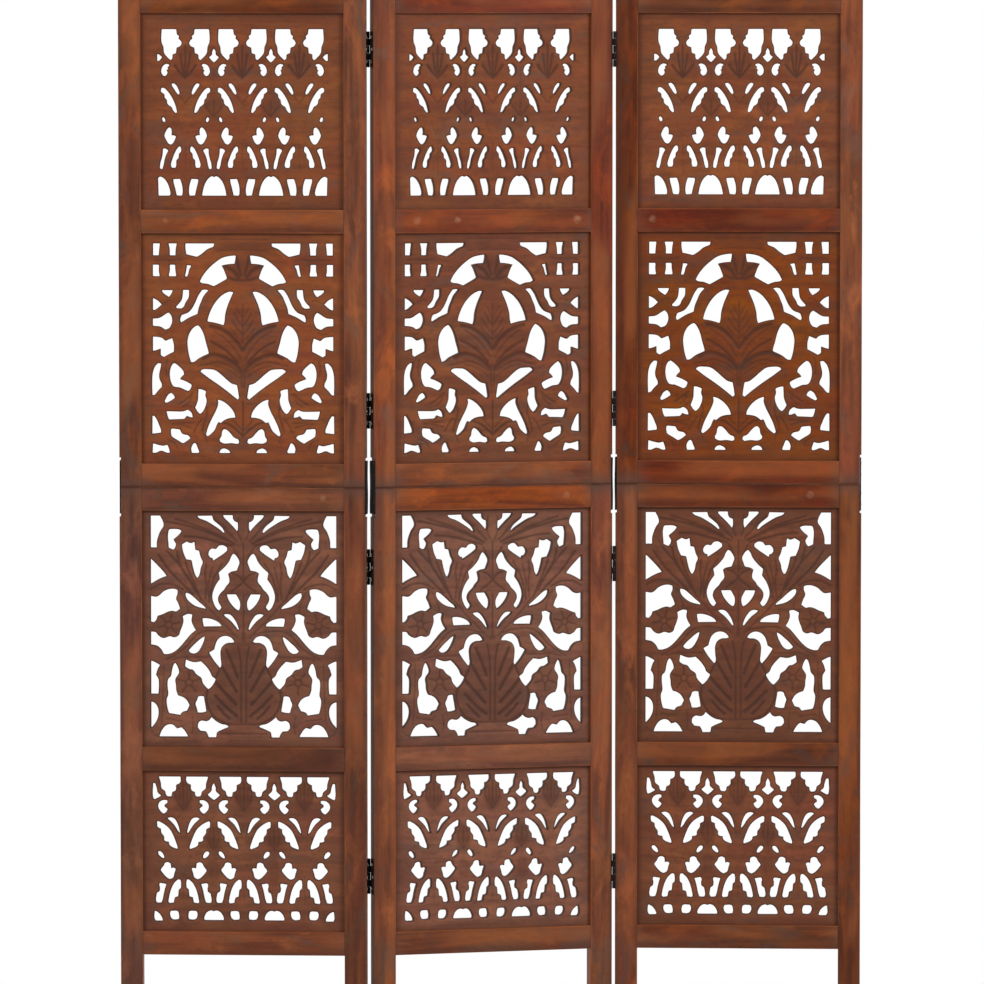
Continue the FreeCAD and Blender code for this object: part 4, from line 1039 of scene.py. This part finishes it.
def boards(design):
    """One design carved once and set into the three leaves."""
    sizes = bpy.context.scene.screen_carving
    points, faces, attributes = carved_board(design, sizes.step / MM, sizes.rim_width / MM,
                                             sizes.rim_depth / MM, sizes.spread)
    for leaf in LEAVES:
        name = f"{leaf}_{design}_carving"
        own = points + [LEAF_WIDTH / 2, (LEAF_THICKNESS - BOARD_THICKNESS) / 2, PANEL_FLOORS[design]]
        new_piece(name, leaf, "panel_timber", own, faces,
                  {**attributes, **wood_attributes(name, points[:, [0, 2, 1]])}, 62,
                  [f"{leaf}_{design}_panel"], clean=False)


FINISHES = {"frame_timber": "Frame timber", "panel_timber": "Carved board", "dark_iron": "Black iron"}
# Patterns of noise: (stretch along, across and through, detail, roughness, distortion)
PATTERNS = {
    "bands": (3.2, 40, 30, 3, 0.55, 1.3), "fibres": (18, 640, 420, 4, 0.65, 0),
    "streaks": (9, 150, 120, 3, 0.55, 0.8), "patches": (11, 24, 20, 3, 0.55, 0.9),
    "worn patches": (14, 30, 30, 4, 0.6, 0.5), "mottle": (70, 110, 110, 3, 0.6, 0),
    "hue drift": (6, 14, 14, 3, 0.6, 0.5), "short wear": (60, 160, 160, 3, 0.6, 0),
    "long wear": (9, 20, 20, 2, 0.5, 0), "board relief": (120, 150, 150, 2, 0.55, 0),
    "frame relief": (30, 90, 90, 2, 0.55, 0), "light band": (4, 13, 13, 2, 0.5, 0.4),
    "margin": (9, 12, 12, 3, 0.55, 0), "uneven": (25, 60, 60, 2, 0.55, 0),
    "crumbs": (130, 160, 160, 2, 0.55, 0), "fine iron": (900, 900, 900, 3, 0.55, 0),
    "broad iron": (120, 120, 120, 2, 0.55, 0),
}


class Shades:
    """A shader tree with short ways to add nodes. A value is a number, a colour or another node's output."""

    def __init__(self, tree):
        self.nodes, self.links = tree.nodes, tree.links

    def feed(self, socket, value):
        """Links an output into a socket, or sets the socket to a number, vector or colour."""
        if isinstance(value, NodeSocket):
            self.links.new(value, socket)
        else:
            socket.default_value = (*value, 1.0) if socket.type == "RGBA" else value

    def node(self, kind, inputs=(), **settings):
        """A node with its settings, and its inputs fed by name or number."""
        made = self.nodes.new(kind)
        for key, value in settings.items():
            setattr(made, key, value)
        for key, value in dict(inputs).items():
            self.feed(made.inputs[key], value)
        return made

    def maths(self, operation, *values):
        """One operation on values."""
        return self.node("ShaderNodeMath", enumerate(values), operation=operation).outputs[0]

    def times(self, first, second):
        """One value times another."""
        return self.maths("MULTIPLY", first, second)

    def linear(self, value, slope, start):
        """A value times a slope, plus a start."""
        return self.maths("MULTIPLY_ADD", value, slope, start)

    def remap(self, value, low, high, to_low=0.0, to_high=1.0):
        """A value moved smoothly from one range to another."""
        values = {"Value": value, "From Min": low, "From Max": high, "To Min": to_low, "To Max": to_high}
        return self.node("ShaderNodeMapRange", values, interpolation_type="SMOOTHSTEP").outputs["Result"]

    def mix(self, share, first, second):
        """Two colours mixed by a share."""
        return self.node("ShaderNodeMix", {0: share, 6: first, 7: second}, data_type="RGBA").outputs[2]

    def pattern(self, place, name):
        """One of the PATTERNS: noise on stretched places, which a stretch below 1 draws out that way."""
        *stretch, detail, rough, twist = PATTERNS[name]
        shifted = self.node("ShaderNodeMapping", {"Vector": place, "Scale": stretch}).outputs[0]
        return self.node("ShaderNodeTexNoise", {
            "Vector": shifted, "Scale": 1.0, "Detail": detail, "Roughness": rough,
            "Distortion": twist}).outputs["Fac"]

    def read(self, name, output="Fac"):
        """One of the mesh's attributes."""
        return self.node("ShaderNodeAttribute", attribute_name=name).outputs[output]

    def bump(self, height, strength, distance):
        """A normal from a height."""
        values = {"Height": height, "Strength": strength, "Distance": distance}
        return self.node("ShaderNodeBump", values).outputs[0]

    def between(self, share, first, second):
        """Two shaders mixed by a share."""
        return self.node("ShaderNodeMixShader", {0: share, 1: first, 2: second}).outputs[0]

    def camera_share(self):
        """One for rays from the camera, from gloss and through glass, nothing for the rest."""
        path = self.node("ShaderNodeLightPath").outputs
        seen = self.maths("MAXIMUM", path["Is Camera Ray"], path["Is Glossy Ray"])
        return self.maths("MAXIMUM", seen, path["Is Transmission Ray"])


def new_group(name, inputs, outputs):
    """An empty shader group with named sockets: the group, its shades, what comes in and what goes out."""
    group = bpy.data.node_groups.new(name, "ShaderNodeTree")
    for way, sockets in (("INPUT", inputs), ("OUTPUT", outputs)):
        for socket, kind in sockets.items():
            group.interface.new_socket(socket, in_out=way, socket_type="NodeSocket" + kind)
    given, result = group.nodes.new("NodeGroupInput").outputs, group.nodes.new("NodeGroupOutput").inputs
    return group, Shades(group), given, result


def new_material(name):
    """A material with nothing in its tree but the output: the material, its shades, the output's socket."""
    material = bpy.data.materials.new(name)
    material.use_nodes = True
    material.node_tree.nodes.clear()
    shades = Shades(material.node_tree)
    return material, shades, shades.node("ShaderNodeOutputMaterial").inputs["Surface"]


def grain_group():
    """Stained grain: fine fibres and broad growth bands drawn out along the board, with lighter patches and
    darker blotches. Tone deepens the colour and turns it a little towards red, and shade lightens it."""
    group, s, given, result = new_group(
        "Stained grain",
        {"Place": "Vector", "Tone": "Float", "Shade": "Float", "Dark": "Color", "Middle": "Color",
         "Light": "Color", "Dull": "Color", "Blotches": "Float", "Patches": "Float", "Figure": "Float"},
        {"Color": "Color", "Fibres": "Float", "Blotch": "Float"})
    bands, fibres, streaks, patches, worn_patches, mottle, drift = (
        s.pattern(given["Place"], name)
        for name in ("bands", "fibres", "streaks", "patches", "worn patches", "mottle", "hue drift"))
    blotch = s.remap(patches, 0.5, 0.72)
    base = s.mix(s.remap(bands, 0.3, 0.7), given["Dark"], given["Light"])
    base = s.mix(s.linear(given["Figure"], -0.42, 0.84), base, given["Middle"])
    for share, colour in (
            (s.times(s.times(s.remap(streaks, 0.5, 0.72), 0.3), given["Figure"]), "Dark"),
            (s.times(s.times(s.remap(fibres, 0.48, 0.75), 0.3), given["Figure"]), "Dark"),
            (s.times(s.remap(worn_patches, 0.48, 0.72), given["Patches"]), "Light"),
            (s.times(blotch, given["Blotches"]), "Dull"),
            (s.times(s.remap(mottle, 0.45, 0.75), 0.32), "Dark")):
        base = s.mix(share, base, given[colour])
    redder = s.maths("MAXIMUM", s.maths("SUBTRACT", given["Tone"], 0.9), 0.0)
    toned = s.node("ShaderNodeHueSaturation", {
        "Hue": s.linear(redder, -0.022, s.linear(drift, 0.03, 0.485)),
        "Value": s.linear(given["Shade"], 0.5, 0.75),
        "Saturation": s.linear(given["Tone"], 0.3, 0.83), "Color": base})
    for socket, value in (("Color", toned.outputs["Color"]), ("Fibres", fibres), ("Blotch", blotch)):
        s.feed(result[socket], value)
    return group


def wear_group():
    """Edge wear: a nearness to an edge, broken up by noise, as a mask."""
    group, s, given, result = new_group(
        "Edge wear", {"Nearness": "Float", "Place": "Vector", "Amount": "Float"}, {"Mask": "Float"})
    broken, long_run = (s.pattern(given["Place"], name) for name in ("short wear", "long wear"))
    spread = s.maths("ADD", s.times(broken, 0.5), s.times(long_run, 0.9))
    reach = s.maths("ADD", given["Nearness"], s.maths("SUBTRACT", spread, 0.95))
    s.feed(result["Mask"], s.times(s.remap(reach, 0.2, 0.62), given["Amount"]))
    return group


def wood_shader(s, output, colour, roughness, height):
    """The shader of the stained woods."""
    shader = s.node("ShaderNodeBsdfPrincipled", {
        "Base Color": colour, "Roughness": roughness, "Specular IOR Level": 0.15,
        "Normal": s.bump(height, 0.35, 0.0006)})
    s.feed(output, shader.outputs[0])


def stained_wood(name, grain, middle, light, blotches, patches, figure):
    """A material of stained grain in the piece's own place, tone and shade. Returns its shades, its
    output's socket, its places and the grain's outputs."""
    colours = bpy.context.scene.screen_finish
    _, s, output = new_material(name)
    place = s.read("grain_place", "Vector")
    stain = s.node("ShaderNodeGroup", node_tree=grain)
    for socket, value in (("Place", place), ("Tone", s.read("tone")), ("Shade", s.read("shade")),
                          ("Dark", colours.dark_stain_and_painted_shadow), ("Middle", middle), ("Light", light),
                          ("Dull", colours.dull), ("Blotches", blotches), ("Patches", patches),
                          ("Figure", figure)):
        s.feed(stain.inputs[socket], value)
    return s, output, place, stain.outputs


def board_finish(grain):
    """The carved boards: painted shade with pooling stain lies dark beside the frame, pooling stain and
    painted shade in the carving, and darker stain and painted shade along the sawn edges.
    """
    colours = bpy.context.scene.screen_finish
    s, output, place, stain = stained_wood("Carved board", grain, colours.board_middle, colours.board_light,
                                           0.6, 0.5, 0.28)
    # Painted shade beside the frame, with pooling stain, and stain over the carving
    colour = s.mix(s.times(s.read("stain_and_frame_shade"), 0.62), stain["Color"], colours.pooled_stain_and_shade)
    # Darker stain in the sawn end grain, and painted shade on the rims and walls
    colour = s.mix(s.times(s.remap(s.read("sawn"), 0.2, 0.9), 0.82), colour, colours.sawn_stain_and_shade)
    # Painted shade in the carved grooves, with pooling stain
    colour = s.mix(s.times(s.remap(s.read("carved"), 0.05, 0.85), 0.62), colour, colours.sawn_stain_and_shade)
    wood_shader(s, output, colour, s.linear(stain["Blotch"], -0.08, 0.56),
                s.linear(stain["Fibres"], 0.5, s.times(s.pattern(place, "board relief"), 0.6)))


def frame_finish(grain, wear):
    """The frames: duller and darker near the joints, a light band between the darker stain of the edges,
    painted light on the faces beside the boards that lightens their shade, smudges and a painted shadow line
    where lower and upper frames meet, rubbed arrises, and pale spots."""
    colours = bpy.context.scene.screen_finish
    s, output, place, stain = stained_wood("Frame timber", grain, colours.stain_middle, colours.light_stain_and_painted_light,
                                           0.85, 0.7, 0.65)
    at_joint, margin, uneven = s.read("joint"), s.read("margin"), s.pattern(place, "uneven")
    near_joint = s.remap(s.maths("ADD", at_joint, s.times(stain["Blotch"], 0.25)), 0.1, 0.7)
    joint = s.remap(s.maths("ADD", at_joint, s.times(stain["Fibres"], 0.3)), 0.7, 1.2)
    open_band = s.remap(s.pattern(place, "light band"), 0.42, 0.64)
    band = s.times(s.remap(margin, 0.05, 0.3, 1.0, 0.0), open_band)
    worn = s.node("ShaderNodeGroup", node_tree=wear)
    for socket, value in (("Nearness", s.read("worn")), ("Place", place), ("Amount", 0.4)):
        s.feed(worn.inputs[socket], value)
    spot = s.times(s.remap(s.pattern(place, "crumbs"), 0.4, 0.6, 0.3, 1.0), s.read("filler"))
    colour = stain["Color"]
    for share, other in (
            (s.times(near_joint, 0.4), colours.dull), (s.times(band, 0.3), colours.rubbed),
            (s.times(margin, s.remap(s.pattern(place, "margin"), 0.3, 0.6, 0.25, 0.8)), colours.pooled_stain_and_shade),
            (s.times(joint, 0.35), colours.dark_stain_and_painted_shadow),
            # Painted light on the faces beside the boards, which lightens their shade
            (s.times(s.read("inside"), 0.5), colours.light_stain_and_painted_light),
            (s.remap(s.linear(uneven, 0.6, s.read("smudge")), 0.5, 1.15, 0.0, 0.7), colours.smudged),
            # Painted shadow along the crack where lower and upper frames meet
            (s.remap(s.linear(uneven, 0.5, s.read("meeting")), 0.45, 1.15, 0.0, 0.85), colours.dark_stain_and_painted_shadow),
            (worn.outputs["Mask"], colours.rubbed), (s.times(spot, 0.34), colours.filler)):
        colour = s.mix(share, colour, other)
    wood_shader(s, output, colour, s.linear(stain["Blotch"], -0.1, 0.52),
                s.linear(stain["Fibres"], 0.7, s.times(s.pattern(place, "frame relief"), 0.5)))


def iron_finish():
    """Black iron with a slight sheen, dusty brown in places, its paint uneven and gone where it is worn."""
    colours = bpy.context.scene.screen_finish
    _, s, output = new_material("Black iron")
    place = s.read("grain_place", "Vector")
    fine, broad = s.pattern(place, "fine iron"), s.pattern(place, "broad iron")
    bare = s.times(s.read("worn"), s.remap(broad, 0.2, 0.5))
    black = s.mix(s.remap(broad, 0.45, 0.75), colours.iron, colours.iron_dust)
    shader = s.node("ShaderNodeBsdfPrincipled", {
        "Base Color": s.mix(bare, black, colours.bare_metal), "Metallic": bare,
        "Roughness": s.linear(fine, 0.3, 0.45), "Specular IOR Level": 0.08,
        "Normal": s.bump(fine, 0.25, 0.0004)})
    s.feed(output, shader.outputs[0])


def floor_finish():
    """A pale floor that takes the screen's shadow near it and shows plain white further off: the distance
    to the screen's footprint counts half at the sides and in front."""
    material, s, output = new_material("Pale floor")
    place = s.node("ShaderNodeSeparateXYZ", {0: s.node("ShaderNodeTexCoord").outputs["Object"]}).outputs
    beside = s.maths("SUBTRACT", s.times(s.maths("ABSOLUTE", place["X"]), 0.5), 0.28)
    beside = s.maths("MAXIMUM", beside, 0.0)
    depth = s.maths("MAXIMUM", place["Y"], s.times(place["Y"], -0.5))
    away = s.maths("SQRT", s.maths("ADD", s.times(beside, beside), s.times(depth, depth)))
    matt = s.node("ShaderNodeBsdfDiffuse", {"Color": bpy.context.scene.screen_finish.floor}).outputs[0]
    share = s.times(s.camera_share(), s.remap(away, 0.08, 0.27))
    s.feed(output, s.between(share, matt, s.node("ShaderNodeEmission").outputs[0]))
    return material


def number(name, text, value, **kind):
    """A plain property."""
    return FloatProperty(name=name, description=text, default=value, **kind)


def length(name, text, value):
    """A length property, given in millimetres."""
    return number(name, text, value * MM, min=0.0, unit="LENGTH", subtype="DISTANCE")


def colour(name, text, value):
    """A colour property."""
    return FloatVectorProperty(name=name, description=text, default=value, size=3, min=0.0, max=1.0,
                               subtype="COLOR")


class ScreenTimber(PropertyGroup):
    """Sizes of the frames' finish."""
    arris: length("Arris", "Radius of the softened long edges", 1.1)
    end_softening: length("End softening", "How far the ends of the uprights are drawn in", 0.8)
    sway: length("Sway", "How far the planed edges wander", 0.18)


class ScreenCarving(PropertyGroup):
    """Sizes of the carving."""
    step: length("Step", "Spacing of the carved surface's points", 1.64)
    rim_width: length("Rim width", "Width of the rounding along a sawn edge", 3.4)
    rim_depth: length("Rim depth", "Depth of the rounding at a sawn edge", 1.3)
    spread: number("Spread", "How widely the carved lines open", 1.5, min=0.5, max=3.0)


class ScreenFinish(PropertyGroup):
    """Colours of wood, iron, filler and floor."""
    # Also the colour of the painted shadow where lower and upper frames meet
    dark_stain_and_painted_shadow: colour("Dark stain and painted shadow", "Darkest stain of the grain", (0.042, 0.013, 0.0065))
    stain_middle: colour("Frame stain", "Middle tone of the frames", (0.114, 0.0252, 0.0077))
    # Also painted light on the frames' faces beside the boards
    light_stain_and_painted_light: colour("Light stain and painted light", "Lightest stain of the frames", (0.28, 0.068, 0.0145))
    dull: colour("Dull stain", "Greyer stain in patches and near the joints", (0.098, 0.043, 0.027))
    smudged: colour("Smudged stain", "Greyer stain where the frames meet", (0.075, 0.034, 0.022))
    board_middle: colour("Board stain", "Middle tone of the carved boards", (0.146, 0.0396, 0.0143))
    board_light: colour("Light board stain", "Lightest stain of the carved boards", (0.255, 0.07, 0.019))
    # Darker stain by the frames' edges and over the carving, and painted shade on the boards beside the
    # frame
    pooled_stain_and_shade: colour("Pooled stain and painted shade", "Darker stain by the edges and over carving", (0.075, 0.024, 0.012))
    # Also painted shade on the sawn rims and walls and in the carved grooves
    sawn_stain_and_shade: colour("Sawn edge", "Stain that lies in cuts and along sawn edges, with painted shade on rims, walls and grooves", (0.034, 0.012, 0.007))
    rubbed: colour("Rubbed edge", "Wood that shows where the stain is rubbed", (0.35, 0.106, 0.032))
    iron: colour("Iron", "Black of the hinges and straps", (0.006, 0.0055, 0.0055))
    bare_metal: colour("Bare metal", "Metal of the hinge screws where the black is gone", (0.85, 0.83, 0.8))
    iron_dust: colour("Iron dust", "Brownish dust on the iron", (0.02, 0.014, 0.011))
    filler: colour("Filler", "Pale filler over pins of the joints", (0.46, 0.27, 0.17))
    floor: colour("Floor", "Plain pale floor", (0.86, 0.86, 0.86))


class ScreenStudio(PropertyGroup):
    """Camera and light."""
    distance: number("Camera distance", "From the screen's plane", 12.0, min=1.0, unit="LENGTH")
    aside: number("Camera place", "Sideways from the middle", -0.194, unit="LENGTH")
    height: number("Camera height", "Above the floor", 1.6385, unit="LENGTH")
    pitch: number("Camera pitch", "Downward tilt", math.radians(3.82), subtype="ANGLE")
    heading: number("Camera heading", "Turn to the right", 0.0162, subtype="ANGLE")
    lens: number("Lens", "Focal length for a 36 mm frame", 271.35, min=1.0)
    key: number("Key light", "Power of the soft light on the right", 190.0, subtype="POWER")
    second: number("Second light", "Power of the soft light on the left", 110.0, subtype="POWER")
    fill: number("Fill light", "Power of the lights above and behind", 48.0, subtype="POWER")
    ambient: number("Ambient", "Strength of the surrounding white on the object", 0.3, min=0.0)


class SCREEN_OT_finishes(Operator):
    """Makes the finishes of wood and iron"""
    bl_idname = "screen.finishes"
    bl_label = "Finishes"

    def execute(self, context):
        grain = grain_group()
        frame_finish(grain, wear_group())
        board_finish(grain)
        iron_finish()
        return {"FINISHED"}


class SCREEN_OT_frames(Operator):
    """Makes the stiles and rails of the three leaves"""
    bl_idname = "screen.frames"
    bl_label = "Frames"

    def execute(self, context):
        for leaf in LEAVES:
            stiles(leaf)
            rails(leaf)
        return {"FINISHED"}


class SCREEN_OT_boards(Operator):
    """Saws and carves the boards of the three leaves"""
    bl_idname = "screen.boards"
    bl_label = "Carved boards"

    def execute(self, context):
        for design in OPENINGS:
            boards(design)
        return {"FINISHED"}


class SCREEN_OT_straps(Operator):
    """Makes the joining straps with their screws"""
    bl_idname = "screen.straps"
    bl_label = "Straps"

    def execute(self, context):
        for leaf in LEAVES:
            straps(leaf)
        return {"FINISHED"}


class SCREEN_OT_hinges(Operator):
    """Makes the hinges with their pins and screws"""
    bl_idname = "screen.hinges"
    bl_label = "Hinges"

    def execute(self, context):
        for gap in ("left", "right"):
            hinge_row(gap, gap)
            hinge_row(gap, "centre")
            hinge_pins(gap)
        return {"FINISHED"}


class SCREEN_OT_fillers(Operator):
    """Makes the pale spots of filler on the rails"""
    bl_idname = "screen.fillers"
    bl_label = "Joint fillers"

    def execute(self, context):
        for leaf in LEAVES:
            fillers(leaf)
        return {"FINISHED"}


def soft_light(name, place, aim, size, power):
    """A square area light at a place, turned to face a point."""
    data = bpy.data.lights.new(name, "AREA")
    data.size, data.energy = size, power
    lamp = bpy.data.objects.new(name, data)
    bpy.context.scene.collection.objects.link(lamp)
    lamp.location = place
    way = np.array(aim, float) - np.array(place, float)
    tilt = math.atan2(math.hypot(way[0], way[1]), -way[2])
    lamp.rotation_euler = (tilt, 0.0, math.atan2(-way[0], way[1]))


class SCREEN_OT_studio(Operator):
    """Makes the floor, the lights and the camera"""
    bl_idname = "screen.studio"
    bl_label = "Studio"

    def execute(self, context):
        scene, values = context.scene, context.scene.screen_studio
        reach = 30.0
        mesh = bpy.data.meshes.new("floor")
        mesh.from_pydata([(-reach, -reach, 0), (reach, -reach, 0), (reach, reach, 0), (-reach, reach, 0)],
                         [], [(0, 1, 2, 3)])
        floor = bpy.data.objects.new("floor", mesh)
        scene.collection.objects.link(floor)
        mesh.materials.append(floor_finish())

        scene.world = bpy.data.worlds.new("studio")
        scene.world.use_nodes = True
        scene.world.node_tree.nodes.clear()
        s = Shades(scene.world.node_tree)
        lit, seen = (s.node("ShaderNodeBackground", {"Color": (1, 1, 1), "Strength": strength}).outputs[0]
                     for strength in (values.ambient, 1.0))
        s.feed(s.node("ShaderNodeOutputWorld").inputs["Surface"], s.between(s.camera_share(), lit, seen))

        soft_light("key", (3.4, -3.8, 3.0), (0, 0, 0.9), 1.8, values.key)
        soft_light("second", (-3.4, -3.6, 3.0), (0, 0, 0.9), 1.8, values.second)
        soft_light("above", (0.0, 0.4, 5.2), (0, 0, 0), 3.0, values.fill)
        soft_light("behind", (1.2, 3.6, 3.6), (0, 0, 0.9), 2.4, values.fill)

        camera = bpy.data.objects.new("camera", bpy.data.cameras.new("camera"))
        scene.collection.objects.link(camera)
        camera.data.lens, camera.data.sensor_width = values.lens, 36.0
        camera.data.sensor_fit = "HORIZONTAL"
        camera.data.clip_end = 200.0
        camera.location = (values.aside, -values.distance, values.height)
        camera.rotation_euler = (math.pi / 2 - values.pitch, 0.0, -values.heading)
        scene.camera = camera
        scene.view_settings.view_transform = "Standard"
        return {"FINISHED"}


OPERATORS = (SCREEN_OT_finishes, SCREEN_OT_frames, SCREEN_OT_boards, SCREEN_OT_straps, SCREEN_OT_hinges,
             SCREEN_OT_fillers, SCREEN_OT_studio)


class SCREEN_PT_panel(Panel):
    """Lists the steps that make the screen"""
    bl_idname = "SCREEN_PT_panel"
    bl_label = "Folding screen"
    bl_space_type = "VIEW_3D"
    bl_region_type = "UI"
    bl_category = "Screen"

    def draw(self, context):
        for operator in OPERATORS:
            self.layout.operator(operator.bl_idname)


GROUPS = {"screen_timber": ScreenTimber, "screen_carving": ScreenCarving, "screen_finish": ScreenFinish,
          "screen_studio": ScreenStudio}
CLASSES = (*GROUPS.values(), *OPERATORS, SCREEN_PT_panel)


def register():
    for kind in CLASSES:
        bpy.utils.register_class(kind)
    for name, kind in GROUPS.items():
        setattr(bpy.types.Scene, name, PointerProperty(type=kind))


def unregister():
    for name in GROUPS:
        delattr(bpy.types.Scene, name)
    for kind in reversed(CLASSES):
        bpy.utils.unregister_class(kind)


def main():
    """Registers the classes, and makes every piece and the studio."""
    register()
    bpy.ops.screen.finishes()
    bpy.ops.screen.frames()
    bpy.ops.screen.boards()
    bpy.ops.screen.straps()
    bpy.ops.screen.hinges()
    bpy.ops.screen.fillers()
    bpy.ops.screen.studio()
    bpy.context.view_layer.update()


if __name__ == "__main__":
    main()
